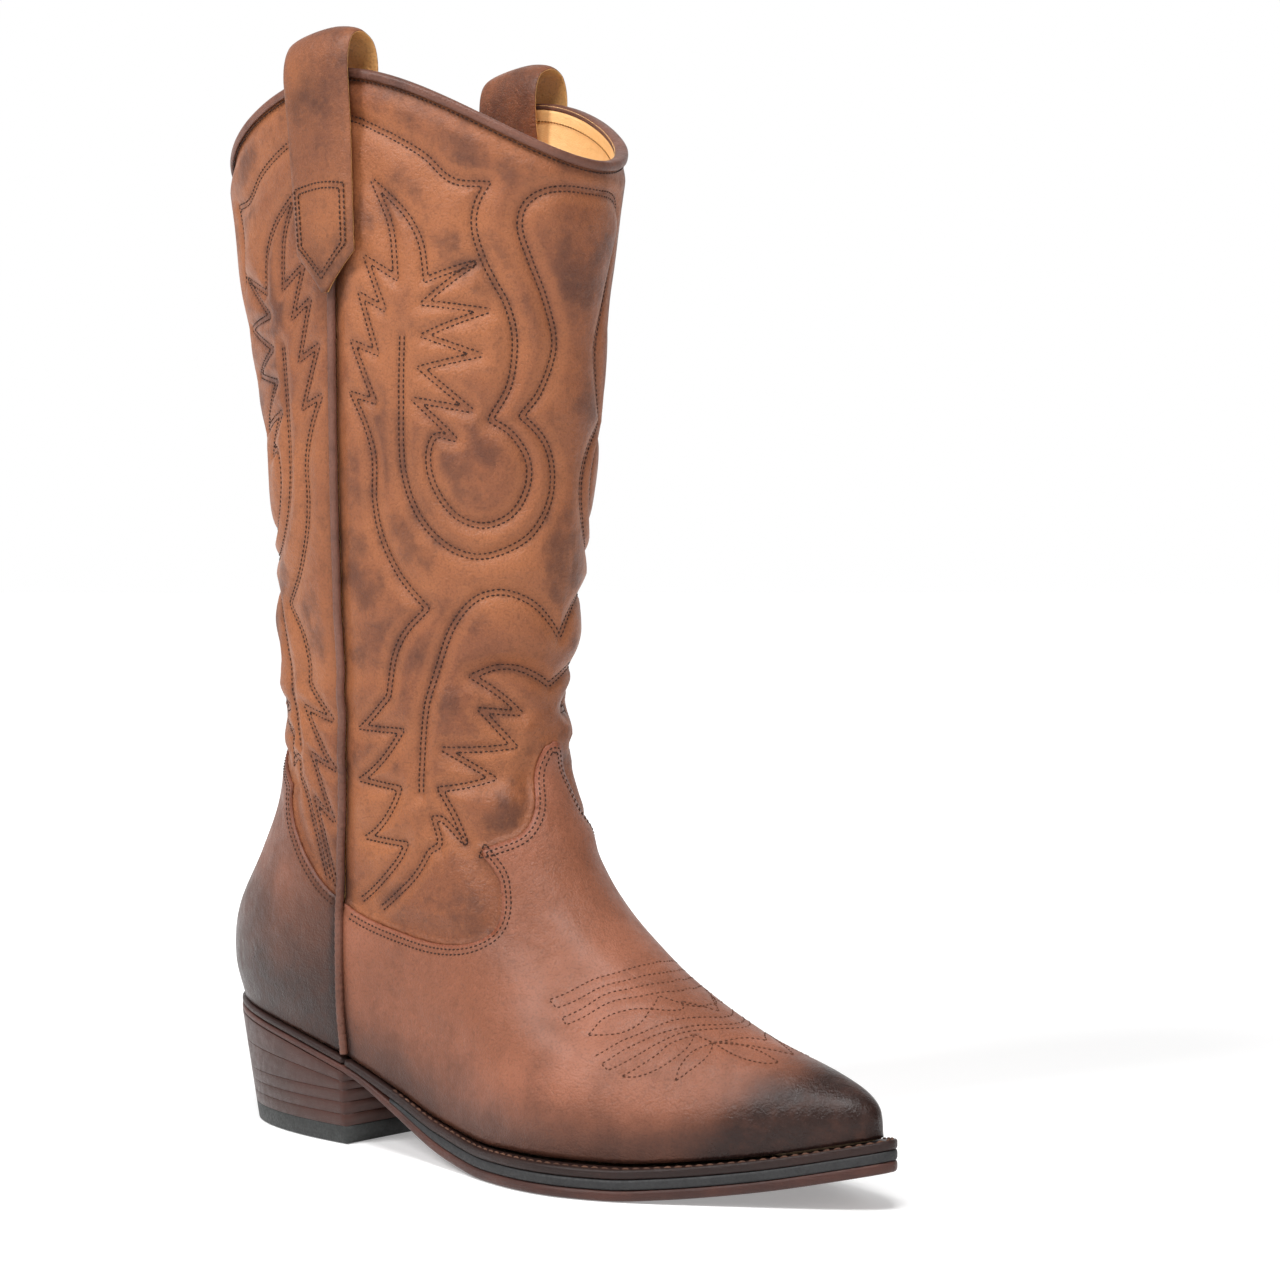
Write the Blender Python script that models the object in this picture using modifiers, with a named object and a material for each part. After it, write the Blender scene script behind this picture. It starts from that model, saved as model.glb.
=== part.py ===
"""Right-foot cowboy boot, pull-on, with a stacked Cuban heel and a welted sole.

The upper is one smooth skin, described by closed level curves stacked from the feather line
(where the upper meets the welt) to the topline. Every leather piece is a patch of that skin at
its own depth, with its own thickness, so the layers nest. The sole is a stack of plates that
follow the curve of the last's bottom.

Working coordinates are millimetres, X = 0 near the back of the heel and +X to the toe,
-Y the outer (lateral) side of the foot, Z = 0 the floor. A point of the skin is given by its
angle (0 back, 90 lateral seam, 180 front, 270 medial seam) and its level (0 to 10).
"""
import math

import bmesh
import bpy
import numpy as np
from mathutils import Vector

MM = 0.001
TOP = 10.0

# Level curves, bottom to top. x and z at the back, at the side seam and at the front; half width
# at the side seam; extra width at the ball, lateral and medial, as a share of it; the two
# exponents of the front's plan shape; the exponent of its rise; how far the toe swings inwards.
LEVELS = np.array([
    # xb   zb   xs   zs   xf   zf   width  lat  med   na   nb   rise  toe
    [-4,  45,  74,  31,  276,   22,  29.5, .66, .46,  2.2, .54, 1.0,  9],
    [-9,  60,  74,  49,  273.5, 32,  31.5, .58, .42,  2.2, .54, 1.0,  9],
    [-6.5, 78, 74,  66,  260,   39,  32.0, .44, .32,  2.1, .56, 1.0,  9],
    [7.5, 100, 74,  84,  231,   48,  32.0, .22, .18,  2.0, .57, 1.0,  7],
    [19,  120, 75, 103,  195,   65,  33.0, .05, .05,  2.0, .54, 1.0,  5],
    [23.5, 137, 78, 124, 161,   95,  35.0, .0,  .0,   2.0, .52, 1.0,  2],
    [23.5, 160, 80, 152, 143,  142,  38.0, .0,  .0,   2.0, .50, 1.0,  0],
    [21.5, 195, 82, 193, 149,  192,  41.0, .0,  .0,   2.0, .50, 1.2,  0],
    [15.5, 250, 85, 255, 156,  255,  45.0, .0,  .0,   2.0, .50, 1.4,  0],
    [4.5, 302, 88, 319,  160,  298,  48.5, .0,  .0,   2.0, .50, 1.6,  0],
    [-1,  342, 90, 371,  165,  338,  50.0, .0,  .0,   2.0, .50, 1.7,  0],
], float)

# Height of the feather line along X: heel seat, waist, ball and toe spring.
FEATHER = np.array([
    [-20, 48], [0, 45], [40, 39], [74, 31], [100, 22.5], [125, 14.5],
    [155, 10.5], [205, 10.5], [220, 11.6], [245, 15], [276, 21.5], [300, 27],
], float)

LEATHER = 1.4          # outer leather
LINING = 1.0
STIFFENER = 1.2        # toe puff and heel stiffener
LAYER_GAP = 0.7        # between nested layers, so that their facets stay apart
TOUCH = 0.3            # between pieces that rest on each other
OVERLAY_GAP = 1.0
OVERLAY_DEPTH = -(LEATHER + OVERLAY_GAP)      # vamp and foxing lie over the shaft leather
LINING_DEPTH = LEATHER + LAYER_GAP + 0.2      # the lining lies under it
INSIDE = LINING_DEPTH + LINING + LAYER_GAP    # how far in the foot's own space starts

SEAM_HALF = 1.9        # half the gap that the side piping fills
PIPING_RADIUS = 1.35
STRAP_WIDTH = 30.0
STRAP_THICKNESS = 2.4
THREAD_RADIUS = 0.45

WELT_THICK = 3.0
MIDSOLE_THICK = 3.0
OUTSOLE_THICK = 3.4
SEAT_SOLE_THICK = 2.2  # the outsole thins where it runs over the heel
SEAT_WELT_THICK = 2.2
WELT_DROP = 0.5        # below the feather line, clear of the uppers' lower edges
WELT_IN = 7.0          # how far the welt reaches under the boot
WELT_OUT = 5.0         # how far the welt stands out at the forefoot, and then at the heel
SEAT_OUT = 3.0
HEEL_BREAST = 74.0
MIDSOLE_START = 84.0   # the midsole is skived out at the waist
TOP_LIFT = 6.0
FLAT_LIFTS = 3         # lifts of even thickness, under two wedges that meet the seat
LIFTS = 5
LIFT_THICK = 4.3
HEEL_BACK_TAPER = 9.0  # how much shorter the heel is at the floor than at the seat
HEEL_SIDE_TAPER = 2.6
NAIL_RADIUS = 1.1
NAIL_SPOTS = ((12.0, 0.0), (30.0, -16.0), (30.0, 16.0), (56.0, -16.0), (56.0, 16.0))
NAIL_LENGTH = 25.0


# ---------------------------------------------------------------- the boot's skin

def catmull_rom(rows, level):
    """Rows of numbers read at a fractional level, along a Catmull-Rom spline."""
    level = np.clip(level, 0, len(rows) - 1)
    i = np.minimum(level.astype(int), len(rows) - 2)
    f = (level - i)[..., None]
    low, high = rows[i], rows[i + 1]
    before = np.where((i > 0)[..., None], rows[np.maximum(i - 1, 0)], 2 * low - high)
    last = (i < len(rows) - 2)[..., None]
    after = np.where(last, rows[np.minimum(i + 2, len(rows) - 1)], 2 * high - low)
    return 0.5 * (2 * low + (high - before) * f
                  + (2 * before - 5 * low + 4 * high - after) * f ** 2
                  + (3 * low - before - 3 * high + after) * f ** 3)


def feather_height(x):
    """Height of the feather line at x, a smooth curve through FEATHER."""
    px, pz = FEATHER[:, 0], FEATHER[:, 1]
    fall = np.diff(pz) / np.diff(px)
    slope = np.concatenate([fall[:1], np.zeros(len(px) - 2), fall[-1:]])
    for k in range(1, len(px) - 1):       # level where the fall stops, so that it never dips
        if fall[k - 1] * fall[k] > 0:
            slope[k] = 2 * fall[k - 1] * fall[k] / (fall[k - 1] + fall[k])
    x = np.clip(x, px[0], px[-1])
    i = np.clip(np.searchsorted(px, x, side="right") - 1, 0, len(px) - 2)
    span = px[i + 1] - px[i]
    f = (x - px[i]) / span
    return (pz[i] * (1 + 2 * f) * (1 - f) ** 2 + pz[i + 1] * f * f * (3 - 2 * f)
            + slope[i] * span * f * (1 - f) ** 2 - slope[i + 1] * span * f * f * (1 - f))


def ball_bulge(u, centre, width=0.26):
    """Extra width of the forefoot, 0 at the seam and at the toe."""
    return np.exp(-((u - centre) / width) ** 2) - np.exp(-(centre / width) ** 2) * (1 - u)


def skin(angle, level):
    """The boot's skin in millimetres. angle in degrees, level from 0 to TOP."""
    angle, level = np.broadcast_arrays(np.asarray(angle, float), np.asarray(level, float))
    columns = np.moveaxis(catmull_rom(LEVELS, level), -1, 0)
    xb, zb, xs, zs, xf, zf, width, lateral, medial, na, nb, rise, toe = columns
    along = -np.cos(np.radians(angle))
    u = np.abs(along)
    front = along > 0
    outer = np.sin(np.radians(angle)) >= 0
    x = np.where(front, xs + (xf - xs) * u, xs - (xs - xb) * u)
    bulge = np.where(outer, lateral * ball_bulge(u, 0.56), medial * ball_bulge(u, 0.62))
    front_y = np.maximum(1 - u ** na, 0) ** nb * (1 + bulge)
    back_y = np.maximum(1 - u ** 2.3, 0) ** 0.5
    y = width * np.where(front, front_y, back_y) * np.where(outer, -1, 1)
    y = y + np.where(front, toe * u ** 2.2, 0)
    share = u ** np.where(front, rise, 1.0 + 0.6 * level / TOP)
    z = zs + (np.where(front, zf, zb) - zs) * share
    end = feather_height(np.where(front, xf, xb))
    chord = feather_height(xs) + (end - feather_height(xs)) * share
    flat = np.clip(level / 5, 0, 1)
    follow = 1 - flat * flat * (3 - 2 * flat)
    z = z + follow * (feather_height(x) - chord)
    z = np.where(level <= 0, feather_height(x), z)
    return np.stack([x, y, z], -1)


def outward(angle, level):
    """Unit vectors out of the skin, level with the floor at the feather line."""
    angle, level = np.broadcast_arrays(np.asarray(angle, float), np.asarray(level, float))
    step = 0.6
    around = skin(angle + step, level) - skin(angle - step, level)
    low, high = np.maximum(level - 0.08, 0), np.minimum(level + 0.08, TOP)
    up = skin(angle, high) - skin(angle, low)
    normal = np.cross(around, up)
    normal[..., 2] *= np.clip(level / 0.8, 0, 1)
    return normal / np.linalg.norm(normal, axis=-1, keepdims=True)


def layer(angle, level, depth):
    """Points at a depth below the skin, or above it where depth is negative."""
    return skin(angle, level) - outward(angle, level) * np.asarray(depth)[..., None]


# ---------------------------------------------------------------- Blender helpers

def clear_scene():
    for obj in list(bpy.data.objects):
        bpy.data.objects.remove(obj)


def material(name, colour, roughness, metallic=0.0):
    made = bpy.data.materials.new(name)
    made.use_nodes = True
    shader = made.node_tree.nodes["Principled BSDF"]
    shader.inputs["Base Color"].default_value = (*colour, 1)
    shader.inputs["Roughness"].default_value = roughness
    shader.inputs["Metallic"].default_value = metallic
    return made


def add_object(name, data, finish):
    obj = bpy.data.objects.new(name, data)
    obj.data.materials.append(finish)
    parts.objects.link(obj)
    obj.parent = frame
    return obj


def mesh_object(name, points, faces, finish):
    """A mesh object from points in millimetres."""
    mesh = bpy.data.meshes.new(name)
    mesh.from_pydata([Vector(p) * MM for p in points], [], faces)
    obj = add_object(name, mesh, finish)
    mesh.shade_smooth()
    return obj


def grid_faces(rows, columns, closed=False):
    """Quads of a grid of points listed row by row; closed joins its last column to its first."""
    faces = []
    for i in range(rows - 1):
        for j in range(columns if closed else columns - 1):
            k = (j + 1) % columns
            faces.append((i * columns + j, i * columns + k,
                          (i + 1) * columns + k, (i + 1) * columns + j))
    return faces


def solidify(obj, thickness, offset=-1.0):
    modifier = obj.modifiers.new("Thickness", "SOLIDIFY")
    modifier.thickness = thickness * MM
    modifier.offset = offset
    return obj


def seam_gap(level, forward):
    """Angle of the side seam's half gap, in front of the seam or behind it."""
    row = catmull_rom(LEVELS, np.asarray(level, float))
    reach = row[..., 4] - row[..., 2] if forward else row[..., 2] - row[..., 0]
    return np.degrees(np.arcsin(SEAM_HALF / reach))


def leather_panel(name, bottom, top, rows, depth, thickness, finish):
    """A shell on the skin between two lists of (angle, level), in order of angle.

    A panel that reaches the side seams stops short of them, to leave room for the piping.
    """
    share = np.linspace(0, 1, rows)[:, None, None]
    grid = bottom[None] * (1 - share) + top[None] * share
    angle, level = grid[..., 0], grid[..., 1]
    forward = angle.max() > 100
    gap = seam_gap(level, forward)
    low, high = (90 + gap, 270 - gap) if forward else (gap - 90, 90 - gap)
    angle = np.clip(angle, low, high)
    points = np.concatenate([layer(angle, level, depth).reshape(-1, 3),
                             layer(angle, level, depth + thickness).reshape(-1, 3)])
    columns, count = len(bottom), rows * len(bottom)
    outside = grid_faces(rows, columns)
    faces = outside + [tuple(k + count for k in face[::-1]) for face in outside]
    rim = (list(range(columns)) + [k * columns + columns - 1 for k in range(1, rows)]
           + [(rows - 1) * columns + k for k in range(columns - 2, -1, -1)]
           + [k * columns for k in range(rows - 2, 0, -1)])
    faces += [(b, a, a + count, b + count) for a, b in zip(rim, rim[1:] + rim[:1])]
    return mesh_object(name, points, faces, finish)


def sweep(name, points, outline_at, finish, closed=False):
    """A body swept along points. outline_at(i) gives the ring of points round the i-th one."""
    rings = [outline_at(i) for i in range(len(points))]
    sides = len(rings[0])
    faces = grid_faces(len(rings), sides, closed=True)
    if closed:
        last = (len(rings) - 1) * sides
        faces += [(last + k, last + (k + 1) % sides, (k + 1) % sides, k) for k in range(sides)]
    else:
        last = (len(rings) - 1) * sides
        faces += [tuple(range(sides))[::-1], tuple(range(last, last + sides))]
    obj = mesh_object(name, [p for ring in rings for p in ring], faces, finish)
    face_outwards(obj)
    return obj


def face_outwards(obj):
    shape = bmesh.new()
    shape.from_mesh(obj.data)
    bmesh.ops.recalc_face_normals(shape, faces=shape.faces)
    if shape.calc_volume(signed=True) < 0:
        bmesh.ops.reverse_faces(shape, faces=shape.faces)
    shape.to_mesh(obj.data)
    shape.free()


def cord(name, points, radius, finish, sides=6):
    """A round cord along points in millimetres."""
    run = np.gradient(points, axis=0)
    run /= np.linalg.norm(run, axis=1, keepdims=True)
    across = np.cross(run[0], (0.3, 0.5, 0.8))
    frames = []
    for tangent in run:
        across = across - tangent * np.dot(across, tangent)
        across /= np.linalg.norm(across)
        frames.append((across, np.cross(tangent, across)))
    turns = [2 * math.pi * k / sides for k in range(sides)]

    def ring(i):
        u, v = frames[i]
        return [points[i] + radius * (u * math.cos(t) + v * math.sin(t)) for t in turns]
    return sweep(name, points, ring, finish)


def cylinder(name, centre, radius, bottom, top, finish, sides=12):
    """An upright round bar."""
    mesh = bpy.data.meshes.new(name)
    shape = bmesh.new()
    bmesh.ops.create_cone(shape, cap_ends=True, segments=sides, radius1=radius * MM,
                          radius2=radius * MM, depth=(top - bottom) * MM)
    shape.to_mesh(mesh)
    shape.free()
    obj = add_object(name, mesh, finish)
    obj.location = Vector((*centre, (bottom + top) / 2)) * MM
    return obj


def cut(obj, cutter):
    modifier = obj.modifiers.new("Cut", "BOOLEAN")
    modifier.operation = "DIFFERENCE"
    modifier.object = cutter


# ---------------------------------------------------------------- the sole's plates

SOLE_ANGLES = np.concatenate([np.arange(8, 90, 12), [90], np.arange(97, 165, 7),
                              np.arange(166, 178, 4)])


def outline(angle, out):
    """The feather line in plan, grown outwards by out, with the height it rests at."""
    angle = np.asarray(angle, float)
    point = skin(angle, np.zeros_like(angle))
    width, toe = LEVELS[0, 6], LEVELS[0, 12]
    along = -np.cos(np.radians(angle))
    middle = toe * np.maximum(along, 0) ** 2.2
    moved = point.copy()
    moved[..., 0] += out * along
    moved[..., 1] = middle + (point[..., 1] - middle) * (1 + out / width)
    moved[..., 2] = feather_height(moved[..., 0])
    return moved


def welt_out(angle):
    """How far the sole's edge stands out of the feather line at an angle."""
    turn = np.abs(180 - (np.asarray(angle, float) % 360))
    share = np.clip((turn - 52) / 38, 0, 1)
    return WELT_OUT + (SEAT_OUT - WELT_OUT) * share * share * (3 - 2 * share)


def forefoot_share(x):
    """0 over the heel, 1 from the ball forwards."""
    share = np.clip((np.asarray(x, float) - 70) / 45, 0, 1)
    return share * share * (3 - 2 * share)


def welt_bottom(x):
    """Depth of the welt's lower face under the feather line."""
    return WELT_DROP + SEAT_WELT_THICK + (WELT_THICK - SEAT_WELT_THICK) * forefoot_share(x)


def midsole_bottom(x):
    """Depth of the midsole's lower face: it tapers out at the waist."""
    share = np.clip((np.asarray(x, float) - MIDSOLE_START) / 45, 0, 1)
    return welt_bottom(x) + TOUCH + MIDSOLE_THICK * share


def outsole_bottom(x):
    seat = SEAT_SOLE_THICK + (OUTSOLE_THICK - SEAT_SOLE_THICK) * forefoot_share(x)
    return midsole_bottom(x) + TOUCH + seat


def plate(name, inset, upper, lower, finish, from_angle=0, to_angle=180):
    """A closed plate between two depths under the feather line.

    inset is how far inside the sole's edge it ends, and upper and lower are functions of x.
    Its rungs run across the boot, so that lateral and medial points are at the same height.
    """
    angles = SOLE_ANGLES[(SOLE_ANGLES > from_angle) & (SOLE_ANGLES < to_angle)]
    ends = ([from_angle] if from_angle else []) + [float(a) for a in angles]
    ends += [to_angle] if to_angle < 180 else []
    angles = np.array(ends)
    lateral = outline(angles, inset(angles))
    medial = outline(360 - angles, inset(360 - angles))
    across = np.linspace(0, 1, 5)[None, :, None]
    rungs = lateral[:, None] * (1 - across) + medial[:, None] * across
    points, faces = [], []
    for surface in (upper, lower):
        sheet = rungs.copy()
        sheet[..., 2] = (lateral[:, 2] - surface(lateral[:, 0]))[:, None]
        points.append(sheet.reshape(-1, 3))
    count = len(angles) * 5
    top = grid_faces(len(angles), 5)
    faces += [face[::-1] for face in top]
    faces += [tuple(i + count for i in face) for face in top]
    points = [p for sheet in points for p in sheet]
    rim_lateral = [i * 5 for i in range(len(angles))]
    rim_medial = [i * 5 + 4 for i in range(len(angles))]
    for a, b in zip(rim_lateral, rim_lateral[1:]):
        faces.append((a, a + count, b + count, b)[::-1])
    for a, b in zip(rim_medial, rim_medial[1:]):
        faces.append((a, a + count, b + count, b))
    for end, angle, flip in ((0, 0.0, from_angle > 0), (len(angles) - 1, 180.0, to_angle < 180)):
        ring = list(range(end * 5, end * 5 + 5))
        if flip:        # a straight end across the sole
            quads = [(a, b, b + count, a + count) for a, b in zip(ring, ring[1:])]
            faces += quads if end == 0 else [q[::-1] for q in quads]
            continue
        tip = outline(np.array([angle]), inset(np.array([angle])))[0]
        tips = []
        for surface in (upper, lower):
            points.append((tip[0], tip[1], tip[2] - float(surface(tip[0]))))
            tips.append(len(points) - 1)
        fans = [(a, b, tips[0]) for a, b in zip(ring, ring[1:])]
        fans += [(b + count, a + count, tips[1]) for a, b in zip(ring, ring[1:])]
        first, last = ring[0], ring[-1]
        fans.append((first + count, first, tips[0], tips[1]))
        fans.append((last, last + count, tips[1], tips[0]))
        faces += fans if end == 0 else [face[::-1] for face in fans]
    obj = mesh_object(name, points, faces, finish)
    face_outwards(obj)
    return obj


def constant(value):
    return lambda x: np.full(np.shape(x), float(value))


# ---------------------------------------------------------------- the upper

# Every layer uses the same columns, so that the nested layers' facets run side by side.
FRONT_HALF = (90, 97, 104, 111, 118, 125, 132, 138, 143, 147, 151, 155, 160, 166, 173)
FRONT_COLUMNS = np.array(FRONT_HALF + (180,) + tuple(360 - a for a in FRONT_HALF[::-1]), float)
BACK_COLUMNS = np.linspace(-90, 90, 19)


def edge(columns, points):
    """A panel's edge as (angle, level) at each column; points give one side of the boot."""
    points = np.array(sorted(points), float)
    dense = catmull_rom(points, np.linspace(0, len(points) - 1, 20 * len(points)))
    turned = np.abs(columns) if columns.min() < 0 else 180 - np.abs(180 - columns)
    return np.stack([columns, np.interp(turned, dense[:, 0], dense[:, 1])], -1)


def level_row(columns, level):
    return np.stack([columns, np.full(len(columns), float(level))], -1)


# The vamp's upper edge: under the side seam, round the shaft's lobe and up to the tongue.
VAMP_EDGE = ((90, 3.08), (100, 3.1), (108, 3.28), (116, 3.52), (123, 3.9), (129, 4.3),
             (134, 4.75), (138, 5.1), (146, 5.25), (155, 5.38), (164, 5.56), (171, 5.86),
             (180, 6.0))
# The shaft's front panel ends under the vamp, about the width of the seam below that edge.
SHAFT_FRONT_EDGE = ((90, 2.7), (104, 2.7), (116, 3.05), (126, 3.6), (133, 4.25), (139, 4.75),
                    (150, 5.0), (164, 5.25), (172, 5.5), (180, 5.65))
# The heel foxing's upper edge, from the side seam to its peak at the back.
FOXING_EDGE = ((90, 3.1), (72, 3.56), (58, 4.02), (49, 4.5), (40, 5.0), (28, 5.3), (14, 5.55),
               (0, 5.65))


def build_upper(leather, lining, board):
    front, back = FRONT_COLUMNS, BACK_COLUMNS
    leather_panel("vamp", level_row(front, 0.06), edge(front, VAMP_EDGE), 20,
                  OVERLAY_DEPTH, LEATHER, leather)
    leather_panel("heel_foxing", level_row(back, 0.06), edge(back, FOXING_EDGE), 9,
                  OVERLAY_DEPTH, LEATHER, leather)
    # The shaft panels run on under the vamp and the foxing by the width of their stitching.
    leather_panel("shaft_front", edge(front, SHAFT_FRONT_EDGE), level_row(front, TOP), 16,
                  0, LEATHER, leather)
    leather_panel("shaft_back", level_row(back, 2.7), level_row(back, TOP), 15,
                  0, LEATHER, leather)
    split, gap = 3.6, 0.05      # the foot lining stops here and the shaft lining starts
    for name, columns, low, high, rows in (
            ("vamp_lining", front, 0, split, 9),
            ("heel_lining", back, 0, split, 7),
            ("shaft_lining_front", front, split + gap, TOP, 14),
            ("shaft_lining_back", back, split + gap, TOP, 12)):
        leather_panel(name, level_row(columns, low), level_row(columns, high), rows,
                      LINING_DEPTH, LINING, lining)
    toe = front[(front > 149) & (front < 211)]
    leather_panel("toe_puff", level_row(toe, 0), level_row(toe, 1.7), 6, 0.3, STIFFENER, board)
    heel = back[1:-1]
    leather_panel("heel_stiffener", level_row(heel, 0), level_row(heel, 2.3), 6,
                  0.3, STIFFENER, board)


# The binding's cross-section: depth under the skin and height over the topline.
BINDING = ((-1.4, -3.8), (-1.4, 0.7), (-0.5, 1.6), (3.9, 1.6), (4.8, 0.7), (4.8, -3.8),
           (3.8, -3.8), (3.8, 0.4), (-0.4, 0.4), (-0.4, -3.8))


def build_edges(piping, binding):
    levels = np.linspace(0.12, 9.86, 36)
    lower = np.clip((3.7 - levels) / 0.8, 0, 1)      # it stands further out beside the vamp
    for name, angle in (("side_piping_lateral", 90.0), ("side_piping_medial", 270.0)):
        points = layer(np.full_like(levels, angle), levels, -0.7 - 1.1 * lower)
        cord(name, points, PIPING_RADIUS, piping)
    angles = np.arange(0, 360, 7.5)
    top = np.full_like(angles, TOP)
    rim = skin(angles, top)
    inwards = -outward(angles, top)
    down = skin(angles, top - 0.1) - rim
    down /= np.linalg.norm(down, axis=1, keepdims=True)
    sweep("topline_binding", rim,
          lambda i: [rim[i] + inwards[i] * depth - down[i] * height for depth, height in BINDING],
          binding, closed=True)


# A pull strap's centreline: height from the topline, and how far out of the skin it lies.
STRAP_PATH = ((-75, 3.9), (-62, 3.9), (-45, 3.9), (-20, 4.4), (-4, 5.2), (5, 5.2), (11, 3.4),
              (13.5, 0.0), (13.5, -3.5), (10.5, -8.0), (4, -10.0), (-5, -9.6), (-20, -7.4),
              (-42, -6.6), (-58, -6.6))
STRAP_LEAN = 4.5       # how far the loop leans to the back at the top


def build_strap(name, side, leather):
    """A strap sewn to the outside of the shaft, looped over the topline and sewn inside."""
    path = catmull_rom(np.array(STRAP_PATH, float), np.linspace(0, len(STRAP_PATH) - 1, 29))
    levels = np.linspace(7, TOP, 60)
    points = []
    for height, out in path:
        half = STRAP_WIDTH / 2
        if out > 0:    # the outer end is cut to a point
            half = min(half, 1.5 + (height - STRAP_PATH[0][0]) * 0.9)
        lean = STRAP_LEAN * min(1.0, 1 - height / STRAP_PATH[0][0]) if out > 0 else STRAP_LEAN
        for share in np.linspace(-1, 1, 5):
            row = LEVELS[-1]
            x_from_seam = share * half - lean
            reach = row[4] - row[2] if x_from_seam > 0 else row[2] - row[0]
            angle = 90 + math.degrees(math.asin(x_from_seam / reach))
            angle = angle if side < 0 else 360 - angle
            z_levels = skin(np.full_like(levels, angle), levels)[:, 2]
            top = z_levels[-1]
            level = np.interp(top + height, z_levels, levels)
            place = layer(np.array([angle]), np.array([level]), np.array([-out]))[0]
            place[2] = top + height
            points.append(place)
    faces = grid_faces(len(path), 5)
    if side < 0:
        faces = [face[::-1] for face in faces]
    obj = mesh_object(name, points, faces, leather)
    return solidify(obj, STRAP_THICKNESS, offset=0.0)


def build_threads(thread):
    """The seams that hold the boot together, each one continuous thread lying on its seam."""
    lie = OVERLAY_DEPTH - 2 * TOUCH - THREAD_RADIUS - 0.2
    vamp = edge(FRONT_COLUMNS[1:-1], [(a, v - 0.22) for a, v in VAMP_EDGE])
    cord("vamp_thread", layer(vamp[:, 0], vamp[:, 1], lie), THREAD_RADIUS, thread, 4)
    foxing = edge(BACK_COLUMNS[1:-1], [(a, v - 0.15) for a, v in FOXING_EDGE])
    cord("foxing_thread", layer(foxing[:, 0], foxing[:, 1], lie), THREAD_RADIUS, thread, 4)
    over_binding = -(1.4 + TOUCH + THREAD_RADIUS)
    for name, angles in (("topline_thread_front", np.arange(97.5, 263, 7.5)),
                         ("topline_thread_back", np.arange(-82.5, 83, 7.5))):
        rim = layer(angles, np.full_like(angles, TOP - 0.06), over_binding)
        cord(name, rim, THREAD_RADIUS, thread, 4)
    angles = np.arange(112, 249, 4.0)
    line = outline(angles, welt_out(angles) - 0.9)
    line[:, 2] += THREAD_RADIUS + 2 * TOUCH - WELT_DROP
    cord("welt_thread", line, THREAD_RADIUS, thread, 4)


# ---------------------------------------------------------------- the bottom

def build_rim_strip(name, angles, finish):
    """A strip laid flat under the upper's edge: the welt round the forefoot, the rand behind."""
    edge, inner = welt_out(angles), 0 * angles - WELT_IN
    rings = []
    for out, depth in ((edge, constant(WELT_DROP)), (edge, welt_bottom),
                       (inner, welt_bottom), (inner, constant(WELT_DROP))):
        ring = outline(angles, out)
        ring[:, 2] -= depth(ring[:, 0])
        rings.append(ring)
    rings = np.array(rings)
    sweep(name, rings[0], lambda i: list(rings[:, i]), finish)


def build_sole(finishes):
    inside = lambda angle: np.full(np.shape(angle), -INSIDE - 1.4)
    within_welt = lambda angle: np.full(np.shape(angle), -WELT_IN - TOUCH)
    half = SOLE_ANGLES[SOLE_ANGLES > 90]
    forefoot = np.concatenate([[90.3], half, [180], 360 - half[::-1], [269.7]])
    build_rim_strip("welt", forefoot, finishes["welt"])
    half = SOLE_ANGLES[SOLE_ANGLES < 90]
    heel = np.concatenate([[-89.8], -half[::-1], [0], half, [89.8]])
    build_rim_strip("heel_rand", heel, finishes["welt"])
    board, foam, cover = 2.6, 1.8, 1.2      # thicknesses of the insole's layers
    plate("insole_board", inside, constant(-board), constant(WELT_DROP - TOUCH),
          finishes["board"])
    plate("insole_padding", inside, constant(-board - TOUCH - foam), constant(-board - TOUCH),
          finishes["foam"])
    plate("sock_liner", inside, constant(-board - foam - 2 * TOUCH - cover),
          constant(-board - foam - 2 * TOUCH), finishes["lining"])
    plate("cork_filler", within_welt, constant(WELT_DROP + TOUCH), welt_bottom,
          finishes["cork"], from_angle=118)
    plate("heel_seat_filler", within_welt, constant(WELT_DROP + TOUCH), welt_bottom,
          finishes["board"], to_angle=72)
    plate("midsole", welt_out, lambda x: welt_bottom(x) + TOUCH, midsole_bottom,
          finishes["midsole"], from_angle=97)
    plate("outsole", welt_out, lambda x: midsole_bottom(x) + TOUCH, outsole_bottom,
          finishes["outsole"])


def build_shank(steel):
    """A ribbed steel strip between the insole board and the outsole, under the arch."""
    xs = np.linspace(56, 128, 13)
    points = []
    for x in xs:
        for y in (-7.0, -2.5, 0.0, 2.5, 7.0):
            rib = 0.7 if abs(y) < 1 else 0.0
            z = float(feather_height(np.array([x]))[0]) - WELT_DROP - TOUCH - 0.4 - rib
            points.append((x, y, z))
    faces = grid_faces(len(xs), 5)
    faces = [face[::-1] for face in faces]
    solidify(mesh_object("steel_shank", points, faces, steel), 1.0, offset=-1.0)


HEEL_ANGLES = np.array([-90, -76, -62, -50, -38, -26, -13, 0, 13, 26, 38, 50, 62, 76, 90.0])


def heel_ring(height, under=0.0):
    """The heel's outline where height, a function of the seat's height, is reached."""
    point = outline(HEEL_ANGLES, welt_out(HEEL_ANGLES))
    seat = point[:, 2] - outsole_bottom(point[:, 0]) - TOUCH
    z = height(seat) - under
    drop = 1 - z / seat         # 0 at the seat, 1 at the floor
    x = HEEL_BREAST - (HEEL_BREAST - point[:, 0]) * (1 - drop * HEEL_BACK_TAPER / 84)
    y = point[:, 1] * (1 - drop * HEEL_SIDE_TAPER / 32)
    return list(np.stack([np.minimum(x, HEEL_BREAST), y, z], -1))


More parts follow.
